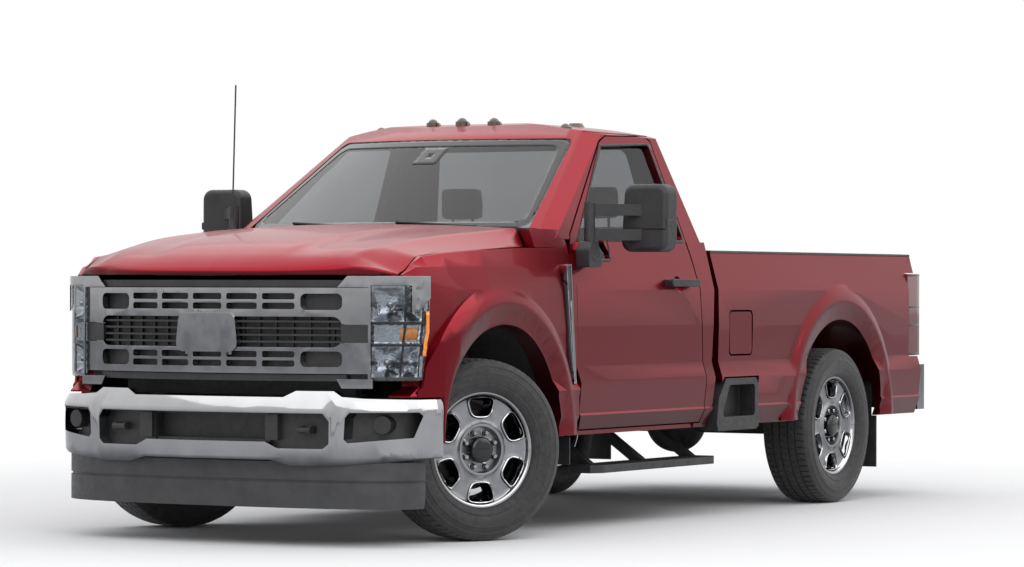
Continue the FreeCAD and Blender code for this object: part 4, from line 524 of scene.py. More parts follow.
class Pile:
    """Collects points and faces of several shapes for one piece."""

    def __init__(self):
        self.points = []
        self.faces = []

    def add(self, points, faces):
        start = len(self.points)
        self.points += [tuple(point) for point in points]
        self.faces += [tuple(start + index for index in face) for face in faces]
        return self

    def block(self, x_range, y_range, z_range):
        points = [(x, y, z) for x in x_range for y in y_range for z in z_range]
        sides = [(0, 1, 3, 2), (4, 6, 7, 5), (0, 4, 5, 1), (2, 3, 7, 6), (0, 2, 6, 4), (1, 5, 7, 3)]
        return self.add(points, sides)

    def prism(self, outline, shift):
        """A flat 3-D outline moved by shift."""
        count = len(outline)
        moved = [tuple(a + b for a, b in zip(point, shift)) for point in outline]
        sides = [(i, (i + 1) % count, count + (i + 1) % count, count + i) for i in range(count)]
        return self.add(list(outline) + moved, [tuple(range(count)), tuple(range(count, 2 * count))] + sides)

    def turned(self, profile, segments=48, centre=(0, 0, 0), axis=(0, 1, 0)):
        """An outline of (radius, place along the axis), turned about an axis through centre."""
        axis = Vector(axis).normalized()
        side = axis.orthogonal().normalized()
        other = axis.cross(side)
        points = []
        for step in range(segments):
            angle = 2 * math.pi * step / segments
            out = side * math.cos(angle) + other * math.sin(angle)
            points += [Vector(centre) + out * radius + axis * height for radius, height in profile]
        return self.add(points, grid_faces(segments, len(profile), True, False))

    def join(self, other):
        return self.add(other.points, other.faces)

    def flipped(self):
        """The same shapes on the truck's other side."""
        return Pile().add([(x, -y, z) for x, y, z in self.points], [face[::-1] for face in self.faces])

    def mirrored(self):
        """The same shapes on both sides of the truck."""
        return Pile().join(self).join(self.flipped())

    def piece(self, name, material, slot, **options):
        return mesh_piece(name, self.points, self.faces, material, slot, **options)

    def sheet(self, name, material, slot, thickness, offset=-1, **options):
        """A piece made of thickened sheets."""
        thicken(self.piece(name, material, slot, **options), thickness, offset)


def rounded(corners, radius, steps=4):
    """A flat outline with rounded corners, for points of two or three numbers."""
    outline = []
    count = len(corners)
    for index in range(count):
        corner = Vector(corners[index])
        to_last = Vector(corners[index - 1]) - corner
        to_next = Vector(corners[(index + 1) % count]) - corner
        reach = min(radius, to_last.length * 0.49, to_next.length * 0.49)
        start = corner + to_last.normalized() * reach
        end = corner + to_next.normalized() * reach
        for step in range(steps + 1):
            share = step / steps
            place = start * (1 - share) ** 2 + corner * 2 * share * (1 - share) + end * share ** 2
            outline.append(tuple(place))
    return outline


# Tyres. The front wheels are steered as the photograph shows them.

AXLE_X = 1974
WHEELBASE = 3597
STEERED = math.radians(-27.3)
PIN_Y = 735
FRONT_HUB_Y = 867.5
REAR_HUB_Y = 853.5
HUB_Z = 414


def wheel_places():
    """Centre, and turn about the upright, of each wheel."""
    reach = FRONT_HUB_Y - PIN_Y
    shift = Vector((-reach * math.sin(STEERED), reach * math.cos(STEERED), 0))
    return {
        "front_left": (Vector((AXLE_X, PIN_Y, HUB_Z)) + shift, STEERED),
        "front_right": (Vector((AXLE_X, -PIN_Y, HUB_Z)) - shift, STEERED + math.pi),
        "rear_left": (Vector((AXLE_X - WHEELBASE, REAR_HUB_Y, HUB_Z)), 0),
        "rear_right": (Vector((AXLE_X - WHEELBASE, -REAR_HUB_Y, HUB_Z)), math.pi)}


TYRE_WALL = [
    (250.5, 97), (262.6, 97.5), (266, 106), (270.5, 112), (277, 119), (284, 124), (290, 126.5),
    (292, 129), (297, 129.4), (299, 127.5), (308, 131.5), (322, 135.3), (338, 137), (346, 136.6),
    (348, 137.8), (352, 137.6), (354, 135.2), (364, 133), (376, 129.5), (379, 131.2), (384, 130),
    (387, 126.4), (394, 123.3), (400, 119.8), (405, 115.6)]
TYRE_TREAD = [
    (408.6, 110), (411, 100), (412.4, 90), (413, 78), (413.3, 70), (404, 68.5), (404, 61.5), (413.6, 60),
    (413.8, 44), (413.9, 29), (404, 27.5), (404, 20.5), (414, 19), (414, 8)]
TREAD_RADIUS = 405
RIB_HALF = 69
SHOULDER_HALF = 112
PITCHES = 72
PITCH_MARKS = ((0.0, 1), (0.14, 1), (0.19, 0), (0.97, 0))


def tyre_shape():
    """Tyre about the Y axis: ringed walls, four grooves round it and cross cuts in the ribs."""
    half = TYRE_WALL + TYRE_TREAD
    profile = half + [(radius, -y) for radius, y in reversed(half)]
    points = []
    for pitch in range(PITCHES):
        for mark, cut in PITCH_MARKS:
            angle = 2 * math.pi * (pitch + mark) / PITCHES
            for radius, y in profile:
                slant = 0.0
                depth = 0.0
                if radius > TREAD_RADIUS and abs(y) > RIB_HALF:
                    depth = 6.5 * cut * (1 if abs(y) < SHOULDER_HALF else 0.5)
                    slant = 0.012
                elif radius > TREAD_RADIUS:
                    depth = 3.0 * cut
                    slant = 0.022
                turn = angle + slant * math.sin(y / 18.0)
                reach = radius - depth
                points.append((reach * math.sin(turn), y, reach * math.cos(turn)))
    return points, grid_faces(PITCHES * len(PITCH_MARKS), len(profile), True, True)


def at_wheel(pile, place):
    """A wheel's shape, drawn about the origin, moved to its place."""
    centre, turn = place
    spin = Matrix.Rotation(turn, 3, "Z")
    return Pile().add([centre + spin @ Vector(point) for point in pile.points], pile.faces)


def make_tyres():
    tyre = Pile().add(*tyre_shape())
    for name, place in wheel_places().items():
        at_wheel(tyre, place).piece(
            "tread_" + name, RUBBER, "tyre", body=name + "_wheel", stands_for=("tyre_" + name,), sharp=28)


# Hood. Tables of (place along or across the truck, size). The crest is the fold along each side.

HOOD_REAR_X = 1600
HOOD_CORNER_X = 1612
HOOD_FRONT_CORNER_X = 2690
HOOD_NOSE_X = 2900
NOSE_BEND_X = 2300
HOOD_FRONT = [
    (0, 2900), (200, 2893), (400, 2868), (560, 2830), (640, 2800), (700, 2783), (760, 2757), (820, 2722),
    (862, 2690)]
HOOD_CENTRE = [
    (1500, 1457), (1600, 1451), (1850, 1436), (2100, 1418), (2300, 1397), (2500, 1371), (2680, 1337),
    (2800, 1297), (2860, 1262), (2900, 1228)]
HOOD_CREST_Y = [
    (1560, 850), (1700, 822), (2000, 776), (2250, 745), (2464, 706), (2600, 680), (2700, 656),
    (2900, 640)]
HOOD_CREST_DROP = [(1560, 24), (2000, 27), (2464, 26), (2680, 12), (2850, 0)]
HOOD_SIDE_Y = [
    (1612, 884), (1700, 917), (1776, 924), (2000, 915), (2300, 893), (2450, 876), (2536, 864),
    (2640, 868), (2690, 862)]
HOOD_SIDE_Z = [
    (1500, 1352), (1640, 1345), (1776, 1340), (2000, 1327), (2300, 1309), (2536, 1289), (2600, 1256),
    (2640, 1232), (2690, 1210)]


def behind_nose(x, y):
    """Where the centre line is read for a place, so that the front edge keeps its height as it bows back."""
    bend = min(max((x - NOSE_BEND_X) / 600.0, 0), 1)
    return x + bend * (HOOD_NOSE_X - smooth_read(HOOD_FRONT, y))


def hood_crest(x):
    """Half width, and height, of the crest along the hood's side at a place along the truck."""
    y = smooth_read(HOOD_CREST_Y, x)
    return y, smooth_read(HOOD_CENTRE, behind_nose(x, y)) - smooth_read(HOOD_CREST_DROP, x)


def hood_height(x, y):
    """Height of the skin: a power dome in the middle, a shallow valley beside it, and a falling flank."""
    y = abs(y)
    crest_y, crest_z = hood_crest(x)
    if y > crest_y:
        side_y = max(smooth_read(HOOD_SIDE_Y, x), crest_y + 20)
        share = min(1.0, (y - crest_y) / (side_y - crest_y))
        return crest_z + share * (smooth_read(HOOD_SIDE_Z, x) - crest_z)
    height = smooth_read(HOOD_CENTRE, behind_nose(x, y))
    height -= smooth_read(HOOD_CREST_DROP, x) * (y / crest_y) ** 2
    middle = 430 - 90 * eased((x - 1700) / 1150)
    fade = eased((x - 1590) / 200) * eased((2840 - x) / 200)
    dome = eased((middle + 30 - y) / 60)
    valley = math.exp(-((y - middle - 90) / 80) ** 2)
    return height + fade * (7 * dome - 6 * valley)


def hood_row(share, middle_columns, flank_columns):
    """Plan points of one row of the hood, from its middle out to the shut line."""
    edge_x = HOOD_CORNER_X + share * (HOOD_FRONT_CORNER_X - HOOD_CORNER_X)
    edge_y = smooth_read(HOOD_SIDE_Y, edge_x)
    crest_y = smooth_read(HOOD_CREST_Y, edge_x + share * 80)
    row = []
    for column in range(middle_columns + flank_columns + 1):
        if column <= middle_columns:
            y = crest_y * column / middle_columns
        else:
            y = crest_y + (edge_y - crest_y) * (column - middle_columns) / flank_columns
        rear_x = HOOD_REAR_X + (HOOD_CORNER_X - HOOD_REAR_X) * (y / edge_y) ** 3
        front_x = smooth_read(HOOD_FRONT, y)
        row.append((rear_x + share * (front_x - rear_x), y))
    return row


def hood_skin(rows, middle_columns, flank_columns):
    """Points of the hood's skin over its whole width, row by row from the windscreen to the nose."""
    points = []
    for step in range(rows):
        share = step / (rows - 1)
        share = share + 0.10 * share * (1 - share)
        row = hood_row(share, middle_columns, flank_columns)
        heights = [(x, y, hood_height(x, y)) for x, y in row]
        points += [(x, -y, z) for x, y, z in reversed(heights[1:])] + heights
    return points


def make_hood():
    """Outer skin with its turned edges, and the dimpled inner panel."""
    rows, middle_columns, flank_columns = 72, 34, 9
    columns = 2 * (middle_columns + flank_columns) + 1
    skin = hood_skin(rows, middle_columns, flank_columns)
    pile = Pile().add(skin, grid_faces(rows, columns))
    border = list(range(columns))
    border += [row * columns + columns - 1 for row in range(1, rows)]
    border += [(rows - 1) * columns + column for column in range(columns - 2, -1, -1)]
    border += [row * columns for row in range(rows - 2, 0, -1)]
    rim = []
    for index in border:
        x, y, z = skin[index]
        if index >= (rows - 1) * columns:
            low = min(z - 20, 1206)
            rim += [(x, y, z), (x + 3, y, z - 8), (x + 3, y, (z + low) / 2), (x, y, low)]
            rim.append((x - 30, y * 0.985, low - 2))
        else:
            rim += [(x, y, z), (x, y * 1.001, z - 2), (x, y, z - 5), (x, y, z - 9), (x, y * 0.975, z - 14)]
    pile.add(rim, grid_faces(len(border), 5, True, False))
    pile.piece("hood_panel", PAINT, "red_paint", body="hood", stands_for=("hood",), sharp=34)
    inner = []
    rows, middle_columns, flank_columns = 40, 20, 3
    narrower = 0.965
    for step in range(rows):
        for x, y in hood_row(step / (rows - 1), middle_columns, flank_columns):
            dimple = 7 * math.sin(x / 62.0) ** 2 * math.sin(y / 105.0) ** 2
            z = hood_height(x, y * narrower) - 26 + dimple
            inner.append((x + 8 - 40 * step / (rows - 1), y * narrower, z))
    half = Pile().add(inner, grid_faces(rows, middle_columns + flank_columns + 1))
    half.mirrored().sheet("hood_lining", BLACK, "black_plastic", 3, body="hood")


# Wheels, drawn about the Y axis. Across and outward are measured in a spoke window's own sector.

SPOKES = 6
WINDOW_MIDDLE = 194.0
SECTOR_INNER, SECTOR_OUTER = 121, 241
BORDER_RINGS = 7


def ray_reach(angle, inside, far=150.0):
    """How far a ray from the window's middle runs before it leaves a region."""
    low, high = 0.0, far
    for halving in range(24):
        middle = (low + high) / 2
        if inside(middle * math.sin(angle), WINDOW_MIDDLE + middle * math.cos(angle)):
            low = middle
        else:
            high = middle
    return low


def in_window(across, outward):
    """Whether a place is in the window, a blunt wedge that widens outwards."""
    width = 45 + 24 * (outward - 154) / 80
    return width > 0 and (abs(across) / width) ** 4 + (abs(outward - WINDOW_MIDDLE) / 40) ** 4 < 1


def in_sector(across, outward):
    reach = math.hypot(across, outward)
    return SECTOR_INNER < reach < SECTOR_OUTER and abs(math.atan2(across, outward)) < math.pi / SPOKES


def window_angles():
    """Ray directions round the window's middle, with one through every corner of its sector."""
    corners = []
    for reach in (SECTOR_INNER, SECTOR_OUTER):
        for side in (1, -1):
            turn = side * math.pi / SPOKES
            corners.append(math.atan2(reach * math.sin(turn), reach * math.cos(turn) - WINDOW_MIDDLE))
    return sorted(corners + [2 * math.pi * step / 44 - math.pi for step in range(44)])


# For each ring: share of the way to the sector's edge, millimetres beyond the window's edge, height.
SECTOR_RINGS = (
    (0.0, -7.0, 18.0), (0.0, -2.0, 60.0), (0.0, 0.0, 84.0), (0.0, 3.0, 90.5), (0.0, 7.0, 92.0),
    (0.0, 10.5, 90.0), (0.0, 13.0, 82.5), (0.35, 9.0, 79.5), (0.7, 4.0, 78.5), (1.0, 0.0, 79.5))


def wheel_sector():
    """Rings of points from inside the window out to its sector's edge: wall, raised border, hollow spoke."""
    reaches = []
    for angle in window_angles():
        reaches.append((angle, ray_reach(angle, in_window), ray_reach(angle, in_sector)))
    rings = []
    for share, grow, height in SECTOR_RINGS:
        ring = []
        for angle, window, sector in reaches:
            reach = min(window + grow + share * (sector - window - grow), sector)
            across = reach * math.sin(angle)
            outward = WINDOW_MIDDLE + reach * math.cos(angle)
            edge = max(0.0, (math.hypot(across, outward) - 226) / 15)
            lug = max(0.0, (133 - math.hypot(across, outward)) / 12)
            lift = 6 * min(edge, 1.0) + 11 * min(lug, 1.0)
            ring.append((across, height + (lift if grow > 8 or share else 0), outward))
        rings.append(ring)
    return rings


def wheel_face():
    """The pierced face about the Y axis: six windows with bright borders between hollow spokes."""
    rings = wheel_sector()
    bright = Pile()
    dull = Pile()
    count = len(rings[0])
    for spoke in range(SPOKES):
        spin = Matrix.Rotation(2 * math.pi * spoke / SPOKES, 3, "Y")
        turned = [[tuple(spin @ Vector(point)) for point in ring] for ring in rings]
        front = [point for ring in turned[:BORDER_RINGS] for point in ring]
        back = [point for ring in turned[BORDER_RINGS - 1:] for point in ring]
        bright.add(front, grid_faces(BORDER_RINGS, count, False, True))
        dull.add(back, grid_faces(len(rings) - BORDER_RINGS + 1, count, False, True))
    return bright, dull


# Outlines of (radius, place along the axle), outwards positive.
RIM_LIP = [
    (241, 85.5), (244, 88), (246, 95), (250, 101), (256, 104.5), (262, 104), (262, 98), (256, 95),
    (250.4, 93), (243, 70), (236, 40), (228, 30), (226, -60), (243, -70), (250, -93), (262, -98),
    (262, -104), (252, -104), (238, -96), (230, -70), (219, -60), (219, 30), (228, 60), (236, 80),
    (241, 85.5)]
LUG_RING = [(121, 90.5), (118, 94), (112, 95), (107, 93), (103, 84), (101, 66), (100, 60), (60, 58)]
HUB_CAP = [(60, 56), (60, 88), (58, 97), (52, 103), (40, 107), (20, 109), (0.01, 109.5)]
BRAKE_DRUM = [(184, -12), (184, -36), (96, -36), (96, 30), (60, 40), (60, -50), (96, -40), (175, -38)]
BRAKE_FACE = [(180, -11), (100, -11), (100, -13), (180, -13)]
NUT_SEAT = [(17, 58), (17, 62), (14, 63), (14, 60)]
NUTS = 8
NUT_CIRCLE = 82


def hex_nut(pile, centre, radius, low, high):
    """A nut along the Y axis with a chamfered top."""
    chamfer = 3
    narrower = 0.8
    corners = []
    for step in range(6):
        angle = math.pi / 3 * step
        corners.append((centre[0] + radius * math.sin(angle), low, centre[1] + radius * math.cos(angle)))
    pile.prism(corners, (0, high - low - chamfer, 0))
    base = [(x, high - chamfer, z) for x, _, z in corners]
    top = [
        (centre[0] + (x - centre[0]) * narrower, high, centre[1] + (z - centre[1]) * narrower)
        for x, _, z in corners]
    pile.add(base + top, grid_faces(2, 6, False, True) + [tuple(range(6, 12))])


def wheel_nuts():
    """Nuts on their seats, and the valve."""
    nuts = Pile()
    for step in range(NUTS):
        angle = 2 * math.pi * (step + 0.5) / NUTS
        place = (NUT_CIRCLE * math.sin(angle), NUT_CIRCLE * math.cos(angle))
        nuts.turned(NUT_SEAT, 16, (place[0], 0, place[1]))
        hex_nut(nuts, place, 12, 60, 90)
    return nuts.add(*tube_mesh([(0, 50, -222), (0, 72, -226), (0, 88, -229)], (4.5, 4, 3.2), 8))


def make_wheels():
    bright, dull = wheel_face()
    parts = (
        ("rim", bright.turned(RIM_LIP, 96), CHROME, "chrome"),
        ("spokes", dull.turned(LUG_RING, 64), SATIN, "chrome"),
        ("nuts", wheel_nuts(), CHROME, "chrome"),
        ("brake", Pile().turned(BRAKE_DRUM).turned(BRAKE_FACE), CAST, "cast_steel"),
        ("cap", Pile().turned(HUB_CAP), GLOSS_BLACK, "black_plastic"))
    for name, place in wheel_places().items():
        for label, pile, material, slot in parts:
            at_wheel(pile, place).piece(
                label + "_" + name, material, slot, body=name + "_wheel",
                stands_for=("wheel_" + name,) if label == "rim" else (), sharp=36)


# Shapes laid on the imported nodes. A view says where a ray through a flat point starts, and its direction.

def surface_of(*names):
    """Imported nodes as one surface, in millimetres, on which flat shapes are laid."""
    points = []
    faces = []
    for name in names:
        node = CAD_NODES[name]
        start = len(points)
        points += [node.matrix_world @ vertex.co * 1000 for vertex in node.data.vertices]
        faces += [[start + index for index in polygon.vertices] for polygon in node.data.polygons]
    return BVHTree.FromPolygons(points, faces)


def from_side(x, z):
    return Vector((x, 1500, z)), Vector((0, -1, 0))


def from_front(y, z):
    return Vector((3500, y, z)), Vector((-1, 0, 0))


def from_rear(y, z):
    return Vector((-3400, y, z)), Vector((1, 0, 0))


def from_above(x, y):
    return Vector((x, y, 2600)), Vector((0, 0, -1))


def laid(surface, view, spots, lift):
    """Flat points put on a surface. One that misses it goes where the last one went."""
    points = []
    last = None
    for spot in spots:
        start, direction = view(*spot)
        hit = surface.ray_cast(start, direction)[0]
        if hit is not None:
            last = hit - direction * lift
        points.append(last)
    known = next(point for point in points if point is not None)
    return [known if point is None else point for point in points]


def laid_band(surface, view, outer, inner, lift, step, across):
    """A closed band between two like outlines, with points about a step apart, laid on a surface."""
    spots = []
    count = len(outer)
    for index in range(count):
        after = (index + 1) % count
        parts = max(1, int(math.dist(outer[index], outer[after]) / step))
        for part in range(parts):
            first = mixed(outer[index], outer[after], part / parts)
            second = mixed(inner[index], inner[after], part / parts)
            spots += [mixed(first, second, place / (across - 1)) for place in range(across)]
    faces = grid_faces(len(spots) // across, across, True, False)
    return Pile().add(laid(surface, view, spots, lift), faces)


def laid_strip(surface, view, path, width, lift):
    """A strip along a path, laid on a surface."""
    spots = []
    for first, second in zip(path, path[1:]):
        length = math.dist(first, second)
        parts = max(1, int(length / 35))
        normal = (-(second[1] - first[1]) / length, (second[0] - first[0]) / length)
        for part in range(parts + 1):
            middle = mixed(first, second, part / parts)
            for side in (-0.5, 0, 0.5):
                spots.append([place + turned * side * width for place, turned in zip(middle, normal)])
    return Pile().add(laid(surface, view, spots, lift), grid_faces(len(spots) // 3, 3))


def door_pair(name, pile, material, finish, *amounts):
    """The same piece on both doors, finished by soften or thicken."""
    for shape, label in ((pile, "left"), (pile.flipped(), "right")):
        piece = shape.piece(name + "_" + label, material, "black_plastic", body=label + "_door")
        finish(piece, *amounts)


def box_outline(x_range, y_range):
    """Corners of a flat rectangle, in order round it."""
    (left, right), (low, high) = x_range, y_range
    return [(left, low), (right, low), (right, high), (left, high)]


# Trim of the cab and doors.

DOOR_WINDOW = [(1222, 1290), (1150, 1400), (640, 1838), (140, 1862), (82, 1388), (930, 1388), (870, 1290)]


def grown_window(grow):
    """The door window's outline with each corner moved away from its middle, across and up."""
    middle_x, middle_z = 600, 1560
    outline = []
    for x, z in DOOR_WINDOW:
        outline.append((x + math.copysign(grow, x - middle_x), z + math.copysign(grow, z - middle_z)))
    return rounded(outline, 22, 3)


def make_window_trim():
    """Black seals round the door glass, and the dark panel behind it."""
    door = surface_of("door_left")
    seal = laid_band(door, from_side, grown_window(13), grown_window(1), 2.2, 35, 3)
    door_pair("window_seal", seal, BLACK, thicken, 2.0, 0)
    panel = laid_strip(door, from_side, [(112, 1868), (46, 1392)], 62, 1.4)
    door_pair("door_rear_panel", panel, GLOSS_BLACK, thicken, 1.4, 0)


def make_cab_trim():
    """Dark edge of the windscreen, the inner mirror's mount and the roof's mouldings."""
    glass = surface_of("cab_glass")
    outer = rounded([(-791, 1434), (791, 1434), (651, 1876), (-651, 1876)], 43, 4)
    inner = rounded([(-752, 1462), (752, 1462), (618, 1842), (-618, 1842)], 50, 4)
    edge = laid_band(glass, from_front, outer, inner, 1.6, 30, 5)
    edge.sheet("windscreen_edge", GLOSS_BLACK, "gloss_black", 1.2, 0)
    outer = rounded(box_outline((-70, 70), (1752, 1840)), 12, 3)
    inner = rounded(box_outline((-4, 4), (1790, 1800)), 1, 3)
    mount = laid_band(glass, from_front, outer, inner, 1.4, 20, 4)
    mount.sheet("mirror_mount", GLOSS_BLACK, "gloss_black", 1.2, 0)
    path = [(640, 664), (560, 672), (100, 676), (10, 674)]
    moulding = laid_strip(surface_of("cab_shell"), from_above, path, 15, 1.5)
    moulding.mirrored().sheet("roof_mouldings", BLACK, "black_plastic", 3, 0)


def make_vent_trim():
    """Bright frame and lower blade on the dark vent behind each front wheel."""
    vent = surface_of("fender_vents", "fenders")
    outer = [(1424, 1257), (1370, 1265), (1319, 697), (1347, 697)]
    inner = [(1416, 1250), (1378, 1257), (1327, 705), (1341, 705)]
    border = laid_band(vent, from_side, outer, inner, 1.2, 30, 3)
    border.mirrored().sheet("vent_frames", CHROME, "chrome", 3, 0)
    blade = laid_strip(vent, from_side, [(1376, 1090), (1338, 712)], 13, 1.6)
    blade.mirrored().sheet("vent_blades", SATIN, "chrome", 4, 0)


def make_door_fittings():
    """Black covers over the mirrors' feet, and pull handles that bridge their cups."""
    outline = [(1265, 1247), (1147, 1247), (1147, 1284), (1178, 1370), (1238, 1370), (1265, 1331)]
    base = Pile().prism([(x, 1044.5, z) for x, z in rounded(outline, 10, 3)], (0, -74, 0))
    door_pair("mirror_base", base, BLACK, soften, 5, 3)
    outline = rounded(box_outline((92, 388), (1157, 1195)), 17, 5)
    handle = Pile().prism([(x, 1032, z) for x, z in outline], (0, -24, 0))
    for low in (98, 328):
        handle.block((low, low + 54), (968, 1010), (1160, 1192))
    door_pair("handle", handle, BLACK, soften, 5, 3)


# Headlamps. A place in one is a share of the way along its curve in plan, and a height.

LAMP_CURVE = [(2772, 768.5), (2725, 860), (2670, 925), (2625, 948), (2575, 961)]
LAMP_REAR = [(712, 2612), (960, 2572), (1185, 2567)]
LAMP_LOW, LAMP_HIGH = 741, 1177
BOWL_SHARES = (0.22, 0.62)
BOWL_HEIGHTS = (1076, 820)


def lamp_point(share, z, depth):
    """A place in the headlamp, at a depth inside the lens."""
    path = curve_through([(x, y, 0) for x, y in LAMP_CURVE], 41)
    rear = straight_read(LAMP_REAR, z) + 5
    inside = [point for point in path if point.x >= rear]
    place = share * (len(inside) - 1)
    index = min(int(place), len(inside) - 2)
    point = inside[index].lerp(inside[index + 1], place - index)
    ahead = (inside[index + 1] - inside[index]).normalized()
    inward = Vector((-ahead.y, ahead.x, 0))
    if inward.x > 0:
        inward = -inward
    return (point.x + inward.x * depth, point.y + inward.y * depth, z)


def lamp_sheet(shares, heights, depth):
    """A grid of places in the headlamp, at one depth or at that of a function of share and height."""
    points = []
    for z in heights:
        for share in shares:
            points.append(lamp_point(share, z, depth(share, z) if callable(depth) else depth))
    return Pile().add(points, grid_faces(len(heights), len(shares)))


def bowl(share, z, middle, half, z_middle, z_half, depth):
    """Depth of a blunt bowl at a place."""
    across = (share - middle) / half
    up = (z - z_middle) / z_half
    if abs(across) >= 1 or abs(up) >= 1:
        return 0.0
    return depth * (1 - across ** 4) * (1 - up ** 4) * (0.55 + 0.45 * (1 - 0.5 * (across ** 2 + up ** 2)))


def reflector_depth(share, z):
    """How deep the reflector lies behind the lens: two bowls above, two below, a ribbed band between."""
    depth = 9.0
    for middle in BOWL_SHARES:
        depth += bowl(share, z, middle, 0.20, BOWL_HEIGHTS[0], 76, 52)
        depth += bowl(share, z, middle, 0.20, BOWL_HEIGHTS[1], 68, 46)
    if 903 < z < 985:
        depth += 6 + 2.5 * math.sin(share * 60)
    return depth


def make_headlamps():
    """Reflector, lens, dark dividers, bulbs, turn lamps and side markers."""
    reflector = lamp_sheet(spread(0, 1, 72), spread(742, 1176, 86), reflector_depth)
    reflector.mirrored().sheet("lamp_housing", REFLECTOR, "chrome", 2, stands_for=("headlamps",), sharp=50)
    lens = lamp_sheet(spread(0, 1, 36), spread(LAMP_LOW, LAMP_HIGH, 24), 0.5)
    lens.mirrored().sheet("lamp_cover", CLEAR, "lamp", 2.4)
    bezel = Pile()
    for heights in ((738, 754), (889, 903), (986, 1000), (1156, 1180)):
        bezel.join(lamp_sheet(spread(0, 1, 30), heights, 5))
    for share in (0.0, 0.42, 0.84, 1.0):
        edges = [min(max(share + shift, 0), 1) for shift in (-0.016, 0.016)]
        bezel.join(lamp_sheet(edges, spread(LAMP_LOW, LAMP_HIGH, 20), 6))
    bezel.mirrored().sheet("lamp_bezels", GLOSS_BLACK, "gloss_black", 5)
    bulbs = Pile()
    profile = [(0.01, 20), (9, 18), (14, 10), (15, 0), (12, -14), (12, -22)]
    for share in BOWL_SHARES:
        for z in BOWL_HEIGHTS:
            bulbs.turned(profile, 20, lamp_point(share, z, 30), (0.8, 0.6, 0))
    bulbs.mirrored().piece("lamp_bulbs", CHROME, "chrome")
    turn = lamp_sheet(spread(0.36, 0.70, 24), (918, 972), 7)
    turn.mirrored().sheet("turn_lamps", AMBER, "amber", 4)
    marker = lamp_sheet(spread(0.9, 1.0, 6), spread(846, 1044, 12), -1.2)
    marker.mirrored().sheet("side_markers", AMBER, "amber", 3.5)


# Rear.

def make_tail_lamp_details():
    """Dark surround and cross bars of the tail lamps, with the clear reversing lamp between."""
    lamp = surface_of("tail_lamps")
    outer = box_outline((802, 914), (782, 1226))
    inner = box_outline((810, 906), (790, 1218))
    bars = laid_band(lamp, from_rear, outer, inner, 1.0, 60, 2)
    for z in (946, 1046):
        bars.join(laid_strip(lamp, from_rear, [(812, z), (904, z)], 9, 1.0))
        bars.join(laid_strip(lamp, from_side, [(-2536, z), (-2700, z)], 9, 1.0))
    for z in (786, 1222):
        bars.join(laid_strip(lamp, from_side, [(-2534, z), (-2704, z)], 8, 1.0))
    bars.mirrored().sheet("tail_lamp_bars", GLOSS_BLACK, "black_plastic", 2.4, 0)
    clear = laid_strip(lamp, from_rear, [(858, 956), (858, 1036)], 86, 0.8)
    clear.mirrored().sheet("reversing_lamps", WHITE_LENS, "lamp", 2, 0)


def make_bumper_trim():
    """Ribbed step pad on the rear bumper, and the dark line along its lower edge."""
    pad_top = 726
    step_pad = Pile().block((-2926, -2782), (-690, 690), (723.5, pad_top))
    for step in range(34):
        y = -670 + step * 1340 / 33
        step_pad.block((-2920, -2790), (y - 6, y + 6), (pad_top, pad_top + 3))
    soften(step_pad.piece("bumper_step_pad", BLACK, "black_plastic"), 1.5, 1)
    outer = box_outline((-690, 690), (474, 512))
    inner = box_outline((-684, 684), (480, 506))
    valance = laid_band(surface_of("rear_bumper"), from_rear, outer, inner, 1.5, 90, 2)
    valance.sheet("rear_valance", BLACK, "black_plastic", 3, 0)


def make_tailgate_handle():
    """Black paddle in its frame."""
    outline = rounded(box_outline((-106, 106), (1206, 1262)), 14, 4)
    handle = Pile().prism([(-2744, y, z) for y, z in outline], (-5, 0, 0))
    outline = rounded(box_outline((-92, 92), (1222, 1256)), 12, 4)
    handle.prism([(-2749, y, z) for y, z in outline], (-9, 0, 0))
    soften(handle.piece("tailgate_handle", BLACK, "black_plastic", body="tailgate"), 2, 2)


FLOOR_TOP = 812.3
FLOOR_REAR_X, FLOOR_RIB_LENGTH = -2680, 2440


def make_box_ribs():
    """Low ribs along the floor of the box."""
    ribs = Pile()
    for step in range(11):
        y = -550 + step * 110
        section = ((y - 30, 0), (y - 22, 7), (y + 22, 7), (y + 30, 0))
        outline = [(FLOOR_REAR_X, side, FLOOR_TOP + rise) for side, rise in section]
        ribs.prism(outline, (FLOOR_RIB_LENGTH, 0, 0))
    soften(ribs.piece("box_floor_ribs", PAINT, "red_paint"), 3, 2, 20)


# Seat.

CLOTH_FRAMES = 20
CLOTH_PRESSURE = 4
CLOTH_REACH = 0.014
CLOTH_GRID = 0.012
HEADREST_Y = 400
# Side outlines, (x, z).
CUSHION_SIDE = [(52, 822), (48, 915), (150, 935), (575, 972), (600, 925), (570, 822)]
BACK_SIDE = [(42, 975), (168, 960), (44, 1468), (-38, 1478)]
HEADREST_SIDE = [(-24, 1502), (46, 1502), (46, 1664), (-12, 1664)]


def applied(piece):
    """Take a piece's modifiers into its mesh."""
    graph = bpy.context.evaluated_depsgraph_get()
    mesh = bpy.data.meshes.new_from_object(piece.evaluated_get(graph), depsgraph=graph)
    piece.modifiers.clear()
    piece.data = mesh


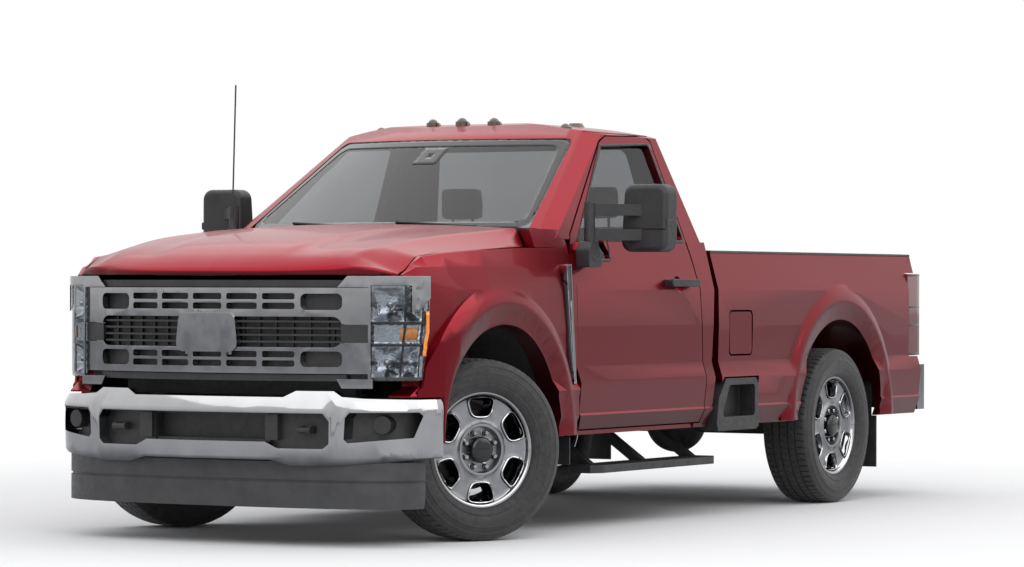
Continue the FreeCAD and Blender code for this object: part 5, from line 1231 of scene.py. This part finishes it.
def inflate(piece):
    """Let a closed pad swell as cloth, each point by no more than CLOTH_REACH."""
    start = [vertex.co.copy() for vertex in piece.data.vertices]
    cloth = piece.modifiers.new("cloth", "CLOTH")
    cloth.settings.use_pressure = True
    cloth.settings.uniform_pressure_force = CLOTH_PRESSURE
    cloth.settings.effector_weights.gravity = 0
    cloth.point_cache.frame_start = 1
    cloth.point_cache.frame_end = CLOTH_FRAMES
    scene = bpy.context.scene
    for step in range(1, CLOTH_FRAMES + 1):
        scene.frame_set(step)
    applied(piece)
    scene.frame_set(1)
    for vertex, before in zip(piece.data.vertices, start):
        move = vertex.co - before
        if move.length > CLOTH_REACH:
            vertex.co = before + move.normalized() * CLOTH_REACH


def add_pad(pile, outline, y_range, shrink):
    """Add a closed pad from its side outline, narrowed at both ends."""
    middle_x = sum(x for x, z in outline) / len(outline)
    middle_z = sum(z for x, z in outline) / len(outline)
    stations = ((0, 0.90), (0.06, 0.98), (0.5, 1.0), (0.94, 0.98), (1, 0.90))
    points = []
    low, high = y_range[0] + shrink, y_range[1] - shrink
    for share, scale in stations:
        y = low + share * (high - low)
        for x, z in rounded(outline, 38, 4):
            points.append((middle_x + (x - middle_x) * scale, y, middle_z + (z - middle_z) * scale))
    count = len(points) // len(stations)
    faces = grid_faces(len(stations), count, False, True)
    faces += [tuple(range(count)), tuple(range(len(points) - count, len(points)))]
    pile.add(points, faces)


def make_seat():
    """Bench seat in three places: cushions, backs and two head restraints, swelled as cloth."""
    cushions = Pile()
    backs = Pile()
    for y_range in ((-716, -176), (-166, 166), (176, 716)):
        add_pad(cushions, CUSHION_SIDE, y_range, 12)
        add_pad(backs, BACK_SIDE, y_range, 12)
    rests = Pile()
    for middle in (HEADREST_Y, -HEADREST_Y):
        add_pad(rests, HEADREST_SIDE, (middle - 122, middle + 122), 10)
    for name, pile in (("seat_cushions", cushions), ("seat_backs", backs), ("head_restraints", rests)):
        piece = pile.piece(name, CLOTH, "seat_cloth", stands_for=("bench_seat",))
        even = piece.modifiers.new("even", "REMESH")
        even.mode = "VOXEL"
        even.voxel_size = CLOTH_GRID
        applied(piece)
        inflate(piece)
        for polygon in piece.data.polygons:
            polygon.use_smooth = True
        rounder = piece.modifiers.new("smooth", "SUBSURF")
        rounder.levels = 1
        rounder.render_levels = 1
    base = Pile().block((70, 550), (-650, 650), (700, 815))
    for middle in (HEADREST_Y, -HEADREST_Y):
        for y in (middle - 60, middle + 60):
            base.add(*tube_mesh([(-4, y, 1440), (6, y, 1520)], (7, 7), 10))
    base.piece("seat_base", BLACK, "black_plastic")


make_camera()
make_stage()
dress_frame()
make_tyres()
make_wheels()
make_hood()
make_window_trim()
make_cab_trim()
make_vent_trim()
make_door_fittings()
make_headlamps()
make_seat()
make_tail_lamp_details()
make_bumper_trim()
make_tailgate_handle()
make_box_ribs()
